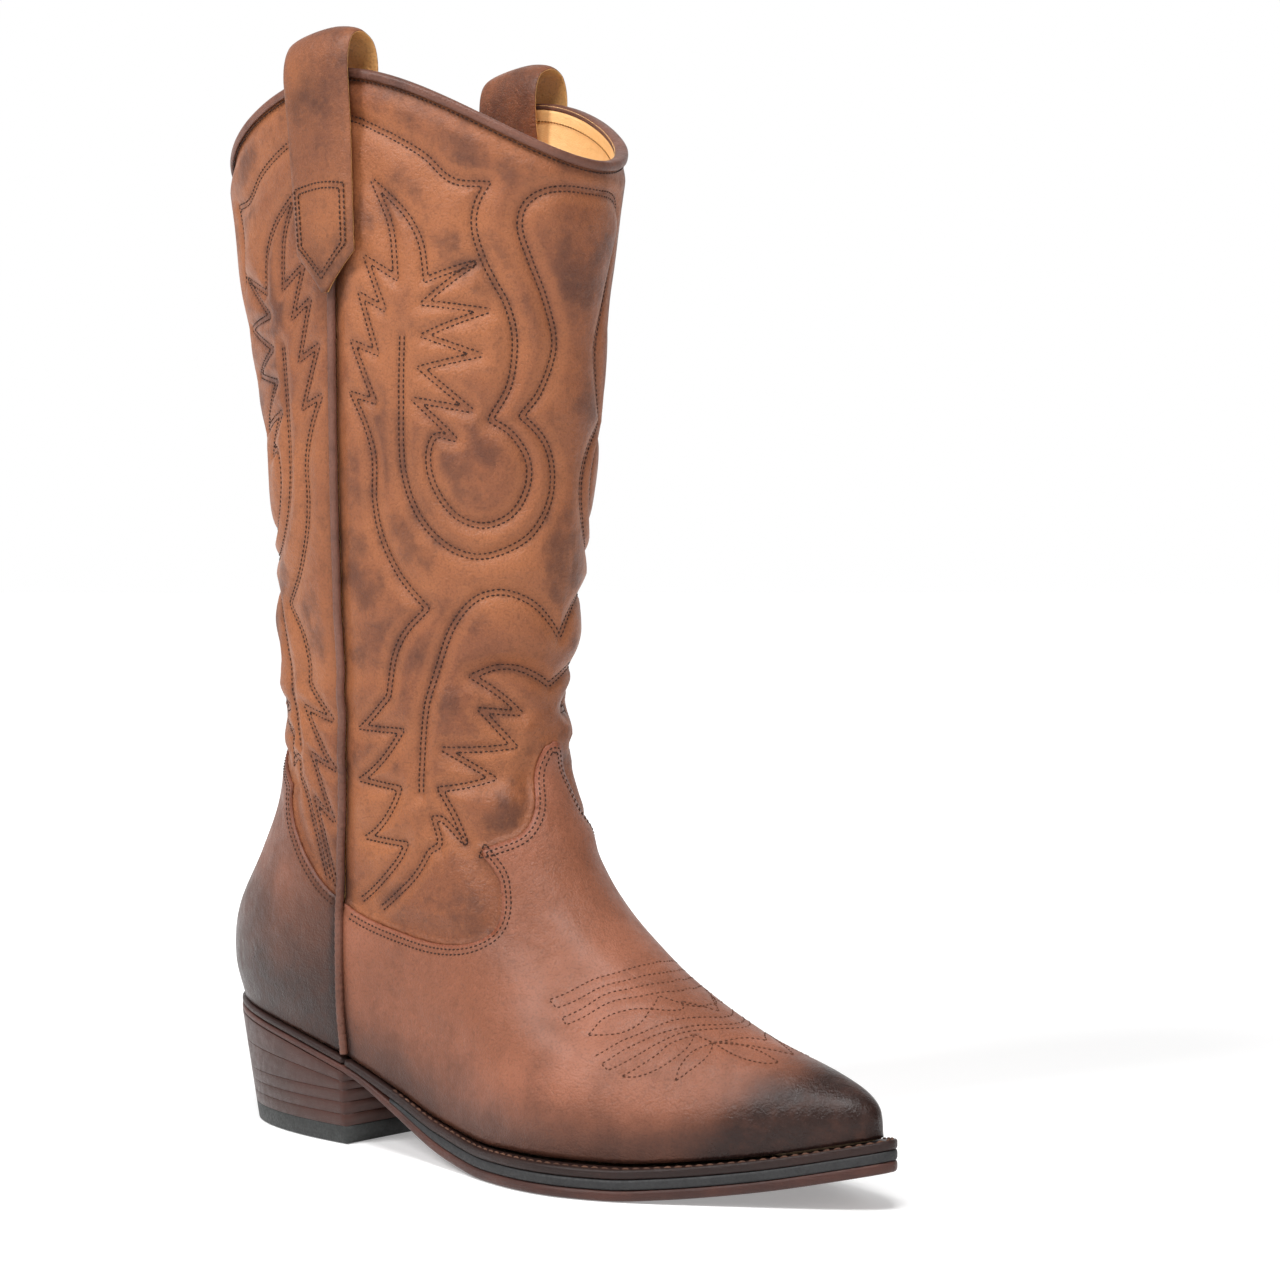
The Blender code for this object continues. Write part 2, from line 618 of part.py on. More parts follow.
def heel_layer(name, low, high, finish):
    """One layer of the stack between two rings of the heel's outline."""
    count = len(HEEL_ANGLES)
    faces = [(j, j + 1, j + 1 + count, j + count) for j in range(count - 1)]
    faces.append((count - 1, 0, count, 2 * count - 1))
    for j in range(count // 2):       # rungs across the heel close its two faces
        a, b = j, count - 1 - j
        cap = (a, a + 1, b - 1, b) if a + 1 < b - 1 else (a, a + 1, b)
        faces += [cap, tuple(i + count for i in cap)]
    obj = mesh_object(name, low + high, faces, finish)
    face_outwards(obj)


def build_heel(finishes):
    flat_top = TOP_LIFT + TOUCH + FLAT_LIFTS * LIFT_THICK

    def boundary(k):
        """Height of the upper face of the k-th lift from the floor."""
        if k <= FLAT_LIFTS:
            return lambda seat: np.full_like(seat, TOP_LIFT + TOUCH + k * LIFT_THICK)
        share = (k - FLAT_LIFTS) / (LIFTS - FLAT_LIFTS)
        return lambda seat: flat_top + (seat - flat_top) * share

    heel_layer("top_lift", heel_ring(np.zeros_like), heel_ring(boundary(0), TOUCH),
               finishes["rubber"])
    for k in range(LIFTS):
        heel_layer(f"heel_lift_{LIFTS - k}", heel_ring(boundary(k)),
                   heel_ring(boundary(k + 1), TOUCH if k < LIFTS - 1 else 0.0),
                   finishes["heel"])


def drop_nails(steel):
    """Heel nails driven from the insole board down into the stack, each in its own hole."""
    holed = ["insole_board", "heel_seat_filler", "outsole"] + [f"heel_lift_{k + 1}" for k in range(LIFTS)]
    for number, (x, y) in enumerate(NAIL_SPOTS, 1):
        name = f"heel_nail_{number}"
        head_top = float(feather_height(np.array([x]))[0]) + 2.2
        bottom = head_top - NAIL_LENGTH
        nail = cylinder(name, (x, y), NAIL_RADIUS, bottom, head_top, steel, sides=10)
        hole = cylinder(f"hole_{number}", (x, y), NAIL_RADIUS + TOUCH, bottom - TOUCH,
                        head_top + 6, steel, sides=10)
        parts.objects.unlink(hole)
        cutters.objects.link(hole)
        hole.hide_render = True
        hole.display_type = "WIRE"
        for target in holed:
            cut(bpy.data.objects[target], hole)
        nail.data.shade_flat()


def centre_on_floor():
    """Moves the frame so that the origin is under the middle of the boot's box."""
    bpy.context.view_layer.update()
    graph = bpy.context.evaluated_depsgraph_get()
    corners = [obj.matrix_world @ Vector(corner)
               for obj in (o.evaluated_get(graph) for o in parts.objects if o.type != "EMPTY")
               for corner in obj.bound_box]
    low = Vector(map(min, *corners))
    high = Vector(map(max, *corners))
    frame.location = Vector((-(low.x + high.x) / 2, -(low.y + high.y) / 2, -low.z))


clear_scene()
parts = bpy.data.collections.new("cowboy_boot")
cutters = bpy.data.collections.new("cutters")
for group in (parts, cutters):
    bpy.context.scene.collection.children.link(group)
frame = bpy.data.objects.new("boot_frame", None)
parts.objects.link(frame)

brown_leather = material("brown_leather", (0.27, 0.105, 0.045), 0.5)
dark_edge = material("dark_edge", (0.055, 0.03, 0.022), 0.45)
tan_lining = material("tan_lining", (0.72, 0.42, 0.17), 0.7)
stiffener_board = material("stiffener_board", (0.45, 0.36, 0.24), 0.85)
steel_finish = material("steel", (0.55, 0.55, 0.57), 0.35, 1.0)
thread_finish = material("thread", (0.05, 0.02, 0.012), 0.6)
sole_finishes = {
    "welt": material("welt_leather", (0.10, 0.045, 0.028), 0.4),
    "board": stiffener_board,
    "foam": material("foam", (0.75, 0.70, 0.58), 0.9),
    "lining": tan_lining,
    "cork": material("cork", (0.42, 0.26, 0.13), 0.9),
    "midsole": material("midsole_rubber", (0.012, 0.012, 0.013), 0.5),
    "outsole": material("outsole_leather", (0.13, 0.055, 0.03), 0.45),
    "heel": material("heel_leather", (0.11, 0.045, 0.03), 0.4),
    "rubber": material("lift_rubber", (0.012, 0.012, 0.013), 0.55),
}

build_upper(brown_leather, tan_lining, stiffener_board)
build_edges(dark_edge, brown_leather)
build_strap("pull_strap_lateral", -1, brown_leather)
build_strap("pull_strap_medial", 1, brown_leather)
build_threads(thread_finish)
build_sole(sole_finishes)
build_shank(steel_finish)
build_heel(sole_finishes)
drop_nails(steel_finish)
centre_on_floor()
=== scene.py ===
"""Looks of the right-foot cowboy boot: burnished leather, stitching, piping, sole and heel.

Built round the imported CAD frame. Lengths are in millimetres until a mesh is made, with X = 0
near the back of the heel, +X to the toe, -Y the outer (lateral) side and Z = 0 the floor.
A point of the upper is given by its angle (0 back, 90 lateral seam, 180 front, 270 medial
seam) and its level (0 at the feather line, where upper and welt meet, to 10 at the topline).
"""
import math

import bmesh
import bpy
import numpy as np
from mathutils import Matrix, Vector, kdtree, noise


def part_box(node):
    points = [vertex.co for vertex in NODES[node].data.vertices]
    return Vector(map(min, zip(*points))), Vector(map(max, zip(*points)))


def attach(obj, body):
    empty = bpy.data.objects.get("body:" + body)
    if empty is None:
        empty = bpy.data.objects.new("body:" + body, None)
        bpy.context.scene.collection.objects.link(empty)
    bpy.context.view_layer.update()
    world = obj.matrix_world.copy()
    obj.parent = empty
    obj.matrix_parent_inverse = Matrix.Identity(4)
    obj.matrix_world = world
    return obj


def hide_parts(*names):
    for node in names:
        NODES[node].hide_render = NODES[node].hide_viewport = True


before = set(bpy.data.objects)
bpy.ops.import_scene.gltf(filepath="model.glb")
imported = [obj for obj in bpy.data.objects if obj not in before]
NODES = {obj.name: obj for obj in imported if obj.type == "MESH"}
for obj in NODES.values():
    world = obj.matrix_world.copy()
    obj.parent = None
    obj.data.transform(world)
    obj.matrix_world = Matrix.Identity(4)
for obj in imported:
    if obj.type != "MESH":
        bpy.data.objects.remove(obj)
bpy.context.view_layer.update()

MM = 0.001
TOP = 10.0

# The boot's level curves, as in the part's source. x and z at the back, at the side seam and at
# the front; half width at the seam; extra width at the ball, lateral and medial; the exponents
# of the front's plan shape; the exponent of its rise; how far the toe swings inwards.
LEVELS = np.array([
    # xb   zb   xs   zs   xf   zf   width  lat  med   na   nb   rise  toe
    [-4,  45,  74,  31,  276,   22,  29.5, .66, .46,  2.2, .54, 1.0,  9],
    [-9,  60,  74,  49,  273.5, 32,  31.5, .58, .42,  2.2, .54, 1.0,  9],
    [-6.5, 78, 74,  66,  260,   39,  32.0, .44, .32,  2.1, .56, 1.0,  9],
    [7.5, 100, 74,  84,  231,   48,  32.0, .22, .18,  2.0, .57, 1.0,  7],
    [19,  120, 75, 103,  195,   65,  33.0, .05, .05,  2.0, .54, 1.0,  5],
    [23.5, 137, 78, 124, 161,   95,  35.0, .0,  .0,   2.0, .52, 1.0,  2],
    [23.5, 160, 80, 152, 143,  142,  38.0, .0,  .0,   2.0, .50, 1.0,  0],
    [21.5, 195, 82, 193, 149,  192,  41.0, .0,  .0,   2.0, .50, 1.2,  0],
    [15.5, 250, 85, 255, 156,  255,  45.0, .0,  .0,   2.0, .50, 1.4,  0],
    [4.5, 302, 88, 319,  160,  298,  48.5, .0,  .0,   2.0, .50, 1.6,  0],
    [-1,  342, 90, 371,  165,  338,  50.0, .0,  .0,   2.0, .50, 1.7,  0],
], float)

# Height of the feather line along X: heel seat, waist, ball and toe spring.
FEATHER = np.array([
    [-20, 48], [0, 45], [40, 39], [74, 31], [100, 22.5], [125, 14.5],
    [155, 10.5], [205, 10.5], [220, 11.6], [245, 15], [276, 21.5], [300, 27],
], float)

# The leather layers, in millimetres.
LINING_DEPTH = 2.7     # the lining's face under the shaft's
VAMP_OUT = 1.5         # the vamp's and foxing's outer face over the shaft's
VAMP_THICK = 1.3
SHAFT_THICK = 1.4
LINING_THICK = 1.0
SHAFT_LOW = 2.6        # level of the shaft panels' lower edge, under the vamp and the foxing
OVERLAY_LOW = 0.04     # and of the vamp's and foxing's, at the welt
LINING_JOIN = 3.0      # level where the upper linings meet the lower ones
PUFF = 2.7             # how far the padded leather rises between its stitch rows
PUFF_REACH = 4.5       # how far from a stitch row the puff is full
ROW_GAP = 1.8          # between the two rows of a double seam
STITCH_PITCH = 1.8     # from stitch to stitch; the thread on top is shorter
STITCH_LENGTH = 1.35
STITCH_RADIUS = 0.27
PANEL_GAP = 0.9        # between a side seam's middle and a panel's edge
GRID = 1.15            # spacing of the shaft's and the foxing's mesh
VAMP_GRID = 1.6
LINING_GRID = 2.4
PIPING_RADIUS = 1.45

# The sole and heel, from the feather line, and the pull straps.
WELT_IN = 6.5          # how far the welt reaches in under the upper
WELT_DROP = 0.4
WELT_OUT = 5.0         # how far it stands out round the forefoot
SEAT_OUT = 3.0         # and round the heel seat
HEEL_BREAST = 74.0
HEEL_BACK_TAPER = 9.0
HEEL_SIDE_TAPER = 2.6
STRAP_WIDTH = 30.0
STRAP_THICK = 2.2


# ---------------------------------------------------------------- the boot's skin

def catmull_rom(rows, level):
    """Rows of numbers read at a fractional level, along a Catmull-Rom spline."""
    level = np.clip(level, 0, len(rows) - 1)
    i = np.minimum(level.astype(int), len(rows) - 2)
    f = (level - i)[..., None]
    low, high = rows[i], rows[i + 1]
    before = np.where((i > 0)[..., None], rows[np.maximum(i - 1, 0)], 2 * low - high)
    last = (i < len(rows) - 2)[..., None]
    after = np.where(last, rows[np.minimum(i + 2, len(rows) - 1)], 2 * high - low)
    return 0.5 * (2 * low + (high - before) * f
                  + (2 * before - 5 * low + 4 * high - after) * f ** 2
                  + (3 * low - before - 3 * high + after) * f ** 3)


def feather_height(x):
    """Height of the feather line at x, a smooth curve through FEATHER that never dips."""
    px, pz = FEATHER[:, 0], FEATHER[:, 1]
    fall = np.diff(pz) / np.diff(px)
    slope = np.concatenate([fall[:1], np.zeros(len(px) - 2), fall[-1:]])
    for k in range(1, len(px) - 1):
        if fall[k - 1] * fall[k] > 0:
            slope[k] = 2 * fall[k - 1] * fall[k] / (fall[k - 1] + fall[k])
    x = np.clip(x, px[0], px[-1])
    i = np.clip(np.searchsorted(px, x, side="right") - 1, 0, len(px) - 2)
    span = px[i + 1] - px[i]
    f = (x - px[i]) / span
    return (pz[i] * (1 + 2 * f) * (1 - f) ** 2 + pz[i + 1] * f * f * (3 - 2 * f)
            + slope[i] * span * f * (1 - f) ** 2 - slope[i + 1] * span * f * f * (1 - f))


def smoothstep(value, low, high):
    share = np.clip((np.asarray(value, float) - low) / (high - low), 0, 1)
    return share * share * (3 - 2 * share)


def ball_bulge(u, centre, width=0.26):
    return np.exp(-((u - centre) / width) ** 2) - np.exp(-(centre / width) ** 2) * (1 - u)


def skin(angle, level):
    """The boot's smooth skin in millimetres."""
    angle, level = np.broadcast_arrays(np.asarray(angle, float), np.asarray(level, float))
    columns = np.moveaxis(catmull_rom(LEVELS, level), -1, 0)
    xb, zb, xs, zs, xf, zf, width, lateral, medial, na, nb, rise, toe = columns
    along = -np.cos(np.radians(angle))
    u = np.abs(along)
    front = along > 0
    outer = np.sin(np.radians(angle)) >= 0
    x = np.where(front, xs + (xf - xs) * u, xs - (xs - xb) * u)
    bulge = np.where(outer, lateral * ball_bulge(u, 0.56), medial * ball_bulge(u, 0.62))
    front_y = np.maximum(1 - u ** na, 0) ** nb * (1 + bulge)
    back_y = np.maximum(1 - u ** 2.3, 0) ** 0.5
    y = width * np.where(front, front_y, back_y) * np.where(outer, -1, 1)
    y = y + np.where(front, toe * u ** 2.2, 0)
    share = u ** np.where(front, rise, 1.0 + 0.6 * level / TOP)
    z = zs + (np.where(front, zf, zb) - zs) * share
    end = feather_height(np.where(front, xf, xb))
    chord = feather_height(xs) + (end - feather_height(xs)) * share
    flat = np.clip(level / 5, 0, 1)
    follow = 1 - flat * flat * (3 - 2 * flat)
    z = z + follow * (feather_height(x) - chord)
    z = np.where(level <= 0, feather_height(x), z)
    return np.stack([x, y, z], -1)


def slopes(angle, level):
    """How the skin moves per degree of angle and per level."""
    step = 0.6
    around = (skin(angle + step, level) - skin(angle - step, level)) / (2 * step)
    low, high = np.maximum(level - 0.06, 0), np.minimum(level + 0.06, TOP)
    up = (skin(angle, high) - skin(angle, low)) / (high - low)[..., None]
    return around, up


def outward(angle, level):
    """Unit vectors out of the skin, level with the floor at the feather line."""
    angle, level = np.broadcast_arrays(np.asarray(angle, float), np.asarray(level, float))
    around, up = slopes(angle, level)
    normal = np.cross(around, up)
    normal[..., 2] *= np.clip(level / 0.8, 0, 1)
    return unit(normal)


def give(angle, level):
    """Slack of worn leather: broad soft dents, and creases where the ankle bends."""
    turn = np.radians(angle)
    broad = (0.55 * np.sin(2 * turn + 1.3 * level) + 0.4 * np.sin(3 * turn - 2.1 * level + 1)
             + 0.3 * np.sin(5 * turn + 2.7 * level)) * smoothstep(level, 4.6, 6.5)
    instep = np.exp(-((np.abs(180 - angle % 360)) / 42) ** 2)
    ankle = np.exp(-((level - 6.1) / 0.85) ** 2)
    creases = (1.2 * np.sin(9.5 * level + 0.9 * np.sin(turn * 2 + 1)) +
               0.5 * np.sin(17 * level - 2.0 * turn)) * ankle * (0.25 + instep)
    return broad + creases


def layer(angle, level, depth):
    """Points at a depth under the worn skin, or over it where depth is negative."""
    out = give(angle, level) - np.asarray(depth, float)
    return skin(angle, level) + outward(angle, level) * out[..., None]


# ---------------------------------------------------------------- lines on the skin

def path(*runs):
    """A line on the skin through runs of (angle, level) points. Each run is a smooth curve, and
    they meet at corners."""
    pieces = []
    for run in runs:
        run = np.array(run, float)
        count = 24 * (len(run) - 1) if len(run) > 2 else 12
        dense = catmull_rom(run, np.linspace(0, len(run) - 1, count + 1))
        pieces.append(dense if not pieces else dense[1:])
    return np.concatenate(pieces)


def zigzag(*points):
    """Straight strokes between points."""
    return [(a, b) for a, b in zip(points, points[1:])]


def medial(line):
    return line * (-1, 1) + (360, 0)


def behind(line):
    """A line of the front panel's lateral half, mirrored about the side seam."""
    return line * (-1, 1) + (180, 0)


def on_skin(line):
    return skin(line[:, 0], line[:, 1])


def unit(vectors):
    return vectors / np.linalg.norm(vectors, axis=-1, keepdims=True)


def run_length(spots):
    """Length of a polyline up to each of its points."""
    return np.concatenate([[0], np.cumsum(np.linalg.norm(np.diff(spots, axis=0), axis=1))])


def resampled(line, run, count):
    """The line read at evenly spaced lengths."""
    wanted = np.linspace(0, run[-1], count)
    return np.stack([np.interp(wanted, run, column) for column in line.T], -1)


def evenly(line, pitch):
    """The line's points at an even spacing in millimetres on the skin."""
    run = run_length(on_skin(line))
    return resampled(line, run, max(2, round(run[-1] / pitch) + 1))


def smooth_runs(line):
    """The line cut at its sharp corners."""
    sharp = 0.8                   # cosine of the turn
    step = unit(np.diff(on_skin(line), axis=0))
    corners = np.nonzero((step[1:] * step[:-1]).sum(-1) < sharp)[0] + 1
    ends = [0, *corners, len(line) - 1]
    return [line[a:b + 1] for a, b in zip(ends, ends[1:])]


def shifted(run, offset):
    """A smooth run moved sideways on the skin."""
    run = evenly(run, 0.6)
    around, up = slopes(run[:, 0], run[:, 1])
    step = unit(np.gradient(on_skin(run), axis=0))
    side = np.cross(outward(run[:, 0], run[:, 1]), step) * offset
    aa, bb, ab = [(p * q).sum(-1) for p, q in ((around, around), (up, up), (around, up))]
    sa, sb = (side * around).sum(-1), (side * up).sum(-1)
    det = aa * bb - ab * ab
    return run + np.stack([(sa * bb - sb * ab) / det, (sb * aa - sa * ab) / det], -1)


def beside(line, offset):
    """The line moved sideways on the skin, to its left as seen from outside, in millimetres.
    At a corner its sides meet in a point, as a seam's rows do."""
    longest = 8                   # steps that a side may grow to reach its corner
    runs = [shifted(run, offset) for run in smooth_runs(line)]
    for i in range(len(runs) - 1):
        a, b = runs[i], runs[i + 1]
        if len(a) < 3 or len(b) < 3:
            continue
        da, db, gap = a[-1] - a[-2], b[1] - b[0], b[0] - a[-1]
        det = db[0] * da[1] - da[0] * db[1]
        s = (db[0] * gap[1] - db[1] * gap[0]) / det
        t = (da[0] * gap[1] - da[1] * gap[0]) / det
        if abs(s) > min(longest, len(a) - 2) or abs(t) > min(longest, len(b) - 2):
            continue
        corner = (a[-1] + s * da)[None]
        runs[i] = np.concatenate([a[:len(a) - int(max(-s, 0)) - (s < 0)], corner])
        runs[i + 1] = b[int(max(t, 0)) + (t > 0):]
    return np.concatenate(runs)


# ---------------------------------------------------------------- the pattern

# Half of the front panel's pattern. Scallop under the topline, lobe, and a leaf with a curled
# stem that runs down to the vamp.
SCALLOP = path(
    [(91, 9.7), (97, 9.68), (104, 9.64), (112, 9.6), (120, 9.55), (126, 9.47), (131, 9.46),
     (139.5, 9.53)],
    [(139.5, 9.53), (136.5, 9.36), (136, 9.18), (139, 9.0), (143, 8.86), (148, 8.7), (151, 8.46),
     (149.5, 8.16), (143, 7.94)],
    [(143, 7.94), (151, 7.86), (158, 7.72), (158.5, 7.58), (153, 7.45), (143.5, 7.39),
     (134.5, 7.42), (128, 7.51), (123.5, 7.64), (122.5, 7.77), (125, 7.86), (131, 7.84)],
    *zigzag((131, 7.84), (118, 8.06), (136, 8.0), (120, 8.24), (138.5, 8.34), (121, 8.43),
            (141, 8.64), (121, 8.62), (137, 8.95), (121.5, 8.76)),
    [(121.5, 8.76), (119.5, 8.98), (114, 9.14), (104, 9.28)],
    [(104, 9.28), (110, 9.03), (112, 8.74)],
    *zigzag((112, 8.74), (102, 8.82), (108, 8.56), (100, 8.62), (105.5, 8.32), (97, 8.37),
            (104.5, 8.06), (96.5, 8.1)),
    [(96.5, 8.1), (101, 7.94), (104, 7.76), (104, 7.54), (106.5, 7.34), (113, 7.12),
     (123, 6.92)],
    [(123, 6.92), (115, 6.74), (111, 6.52), (110, 6.24)],
    *zigzag((110, 6.24), (97.5, 5.9), (114, 5.96), (96, 5.3), (110, 5.4), (96.5, 4.5),
            (108, 4.72)),
    [(108, 4.72), (100, 4.0), (93.5, 3.3)])
STEM = path(
    [(114, 8.42), (113.5, 8.06), (114, 7.7), (119, 7.46), (128, 7.3), (138.5, 7.23), (149, 7.25),
     (161, 7.34), (169, 7.5), (170, 7.66), (165, 7.82), (154.5, 7.96)],
    [(154.5, 7.96), (162.5, 8.14), (167.5, 8.46), (162.5, 8.8), (155.5, 9.08), (151, 9.3),
     (152.5, 9.5), (159.5, 9.66), (169, 9.74), (180, 9.76)])
ARCH = path(
    [(118, 5.44), (122, 5.9), (125.5, 6.28), (129, 6.58), (133, 6.82), (140, 6.98), (150, 7.03),
     (162, 6.98), (172, 6.88), (180, 6.76)])
LOWER_LEAF = path(
    [(180, 6.42), (170, 6.49), (159, 6.54), (150, 6.53), (141.5, 6.46)],
    [(141.5, 6.46), (154, 6.34), (163.5, 6.22)],
    *zigzag((163.5, 6.22), (146, 6.22), (159.5, 5.98), (130, 5.88), (147.5, 5.73),
            (125.5, 5.54)),
    [(125.5, 5.54), (128, 5.32), (129, 5.08)],
    [(129, 5.08), (123.5, 5.24), (120, 5.22)],
    [(120, 5.22), (119.5, 4.95), (114, 4.72), (103.5, 3.92), (97.5, 3.35)])
HALF_PATTERN = (SCALLOP, STEM, ARCH, LOWER_LEAF)

# Panel edges, for the lateral half.
VAMP_EDGE = path(
    [(89, 3.1), (94, 3.03), (100.5, 3.1), (108, 3.26), (115.5, 3.52), (123, 3.9), (129, 4.28),
     (134, 4.64), (136, 4.86), (133, 5.08)],
    [(133, 5.08), (143, 5.22), (154, 5.36), (163, 5.55), (170, 5.84), (175, 5.98), (180, 6.0)])
FOXING_EDGE = path(
    [(91, 3.08), (81, 3.28), (72, 3.56), (64, 3.84), (57, 4.12), (53, 4.45), (54, 4.72)],
    [(54, 4.72), (44, 4.86), (32, 5.0), (20, 5.22), (11, 5.5), (5, 5.66), (0, 5.68)])

# Rows on the toe, for the lateral half: bands, a knot and leaves round a node.
TOE_ROWS = (
    path([(127.5, 3.02), (140, 3.6), (152, 3.92), (165, 4.12), (180, 4.2)]),
    path([(128, 2.9), (140.5, 3.5), (152, 3.81), (165, 4.01), (180, 4.08)]),
    path([(128, 2.74), (139.5, 3.36), (150, 3.66), (163, 3.88), (180, 3.98)]),
    path([(128, 2.62), (139, 3.23), (150, 3.54), (163, 3.76), (180, 3.86)]),
    path([(127.5, 3.02), (127.8, 2.96), (128, 2.9)]),
    path([(128, 2.74), (128, 2.68), (128, 2.62)]),
    path([(130.5, 2.5), (135, 2.88), (140.5, 3.13), (147, 3.3), (156, 3.4)],
         [(156, 3.4), (162, 3.5), (165, 3.64)], [(165, 3.64), (172, 3.6), (180, 3.5)]),
    path([(130.5, 2.5), (136, 2.66), (142, 2.96), (148.5, 3.3), (158, 3.66)],
         [(158, 3.66), (168, 3.58), (180, 3.62)]),
    path([(130, 2.14), (137, 2.6), (149.5, 3.12), (163, 3.36), (180, 3.42)]),
    path([(130.5, 2.02), (136, 2.42), (145, 2.86), (156, 3.14), (168, 3.26), (180, 3.3)]),
    path([(131, 1.92), (140.5, 2.54), (150, 2.94), (160, 3.12), (170, 3.2), (180, 3.22)]),
    path([(130.5, 2.02), (130.8, 1.97), (131, 1.92)]),
    path([(132.5, 1.84), (136.5, 2.14), (140, 2.38), (144.5, 2.66), (153, 2.96)],
         [(153, 2.96), (155, 2.82)]),
    path([(132.5, 1.84), (134.5, 1.87), (138, 2.06), (144, 2.44), (153, 2.96)]),
    path([(139.5, 1.84), (141.8, 2.16), (147, 2.53), (155, 2.82)]),
    path([(139.5, 1.84), (143, 2.1), (149, 2.46), (155, 2.82)]),
    path([(155, 2.82), (162, 2.86), (166, 2.7), (165, 2.42)]),
    path([(155, 2.82), (156, 2.52), (160, 2.38), (165, 2.42)]),
    path([(155, 2.82), (165, 2.98), (172, 3.02), (180, 2.96)]),
    path([(155, 2.82), (166, 2.84), (172, 2.76), (180, 2.62)]),
)


# ---------------------------------------------------------------- mesh helpers

shift_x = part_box("outsole")[0][0] - (-4 - SEAT_OUT) * MM     # the frame's origin is mid-box


def to_frame(point):
    return Vector((point[0] * MM + shift_x, point[1] * MM, point[2] * MM))


def add_piece(name, points, faces, finish, nodes):
    """A visual piece from points in millimetres, standing for CAD nodes."""
    mesh = bpy.data.meshes.new(name)
    points = np.asarray(points, float)
    mesh.from_pydata((points * MM + (shift_x, 0, 0)).tolist(), [], faces)
    mesh.validate()
    mesh.materials.append(finish)
    mesh.shade_smooth()
    obj = bpy.data.objects.new(name, mesh)
    bpy.context.scene.collection.objects.link(obj)
    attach(obj, "root")
    if nodes:
        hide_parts(*nodes)
    return obj


def grid_faces(rows, columns, closed=False):
    """Quads of a grid listed row by row; closed joins its last column to its first."""
    faces = []
    for i in range(0, (rows - 1) * columns, columns):
        for j in range(columns if closed else columns - 1):
            k = (j + 1) % columns
            faces.append((i + j, i + k, i + columns + k, i + columns + j))
    return faces


def face_outwards(obj):
    shape = bmesh.new()
    shape.from_mesh(obj.data)
    bmesh.ops.recalc_face_normals(shape, faces=shape.faces)
    if shape.calc_volume(signed=True) < 0:
        bmesh.ops.reverse_faces(shape, faces=shape.faces)
    shape.to_mesh(obj.data)
    shape.free()


def thicken(obj, thickness):
    modifier = obj.modifiers.new("Thickness", "SOLIDIFY")
    modifier.thickness = thickness * MM
    modifier.offset = -1.0
    modifier.use_even_offset = False


def set_values(obj, name, values):
    """Per-vertex values for the material to read."""
    attribute = obj.data.attributes.new(name, "FLOAT", "POINT")
    attribute.data.foreach_set("value", np.asarray(values, np.float32))


def near(lines, pitch=0.5):
    """A search tree over points along lines on the skin."""
    spots = np.concatenate([on_skin(evenly(line, pitch)) for line in lines])
    tree = kdtree.KDTree(len(spots))
    for i, p in enumerate(spots):
        tree.insert(p, i)
    tree.balance()
    return tree


def distances(tree, world):
    flat = world.reshape(-1, 3)
    return np.array([tree.find(p)[2] for p in flat]).reshape(world.shape[:-1])


def grain(world, scale, seed=0.0):
    """Smooth noise in -1..1 at each point, with features about scale mm across."""
    flat = world.reshape(-1, 3) / scale + seed
    return np.array([noise.noise(p) for p in flat]).reshape(world.shape[:-1])


# ---------------------------------------------------------------- leather panels

def panel_span(forward):
    """The seams' angles between which a front or a back panel lies."""
    return (90, 270) if forward else (-90, 90)


def panel_grid(forward, low, high, pitch, seam_share=1.0):
    """Angles and levels of a panel's grid: even columns at mid height, even rows near its back
    edge, its sides held clear of the side seams by a share of the seam's reach."""
    start, end = panel_span(forward)
    angles, levels = np.linspace(start, end, 200), np.linspace(low, high, 200)

    def line_at(angle, level):
        return np.stack(np.broadcast_arrays(angle, level), -1).astype(float)

    def length(angle, level):
        return run_length(on_skin(line_at(angle, level)))

    across = max(length(angles, v)[-1] for v in np.linspace(low, high, 7))
    along = max(length(a, levels)[-1] for a in np.linspace(start, end, 7))
    axes = []
    for axis, run, size in ((angles, length(angles, (low + high) / 2), across),
                            (levels, length(start * 0.7 + end * 0.3, levels), along)):
        axes.append(np.interp(np.linspace(0, run[-1], int(size / pitch)), run, axis))
    angle, level = np.meshgrid(*axes)
    return clear_of_seams(angle, level, forward, seam_share), level


def inside_line(angle, level, line):
    """True below a panel edge that runs once round the patch, for (angle, level) points."""
    count = np.zeros(angle.shape, int)
    for (a0, v0), (a1, v1) in zip(line[:-1], line[1:]):
        if a0 == a1:
            continue
        crosses = (angle >= min(a0, a1)) & (angle < max(a0, a1))
        height = v0 + (v1 - v0) * (angle - a0) / (a1 - a0)
        count += crosses & (height > level)
    return count % 2 == 1


def cut_to_edge(angle, level, line):
    """Keeps the grid below a panel edge and moves its last points onto that edge. Gives which
    points are kept, and their distances from the edge."""
    used = inside_line(angle, level, line)
    full = used[:-1, :-1] & used[1:, :-1] & used[:-1, 1:] & used[1:, 1:]
    kept, possible = np.zeros(angle.shape, int), np.zeros(angle.shape, int)
    rows, columns = full.shape
    for down in (0, 1):
        for right in (0, 1):
            kept[down:rows + down, right:columns + right] += full
            possible[down:rows + down, right:columns + right] += 1
    fine = evenly(line, 0.3)
    tree = near([line], 0.3)
    world = skin(angle, level)
    gap = np.full(angle.shape, 99.0)
    for index in zip(*np.nonzero(kept)):
        _, i, gap[index] = tree.find(world[index])
        if kept[index] < possible[index]:
            angle[index], level[index] = fine[i]
            gap[index] = 0.0
    return kept > 0, gap


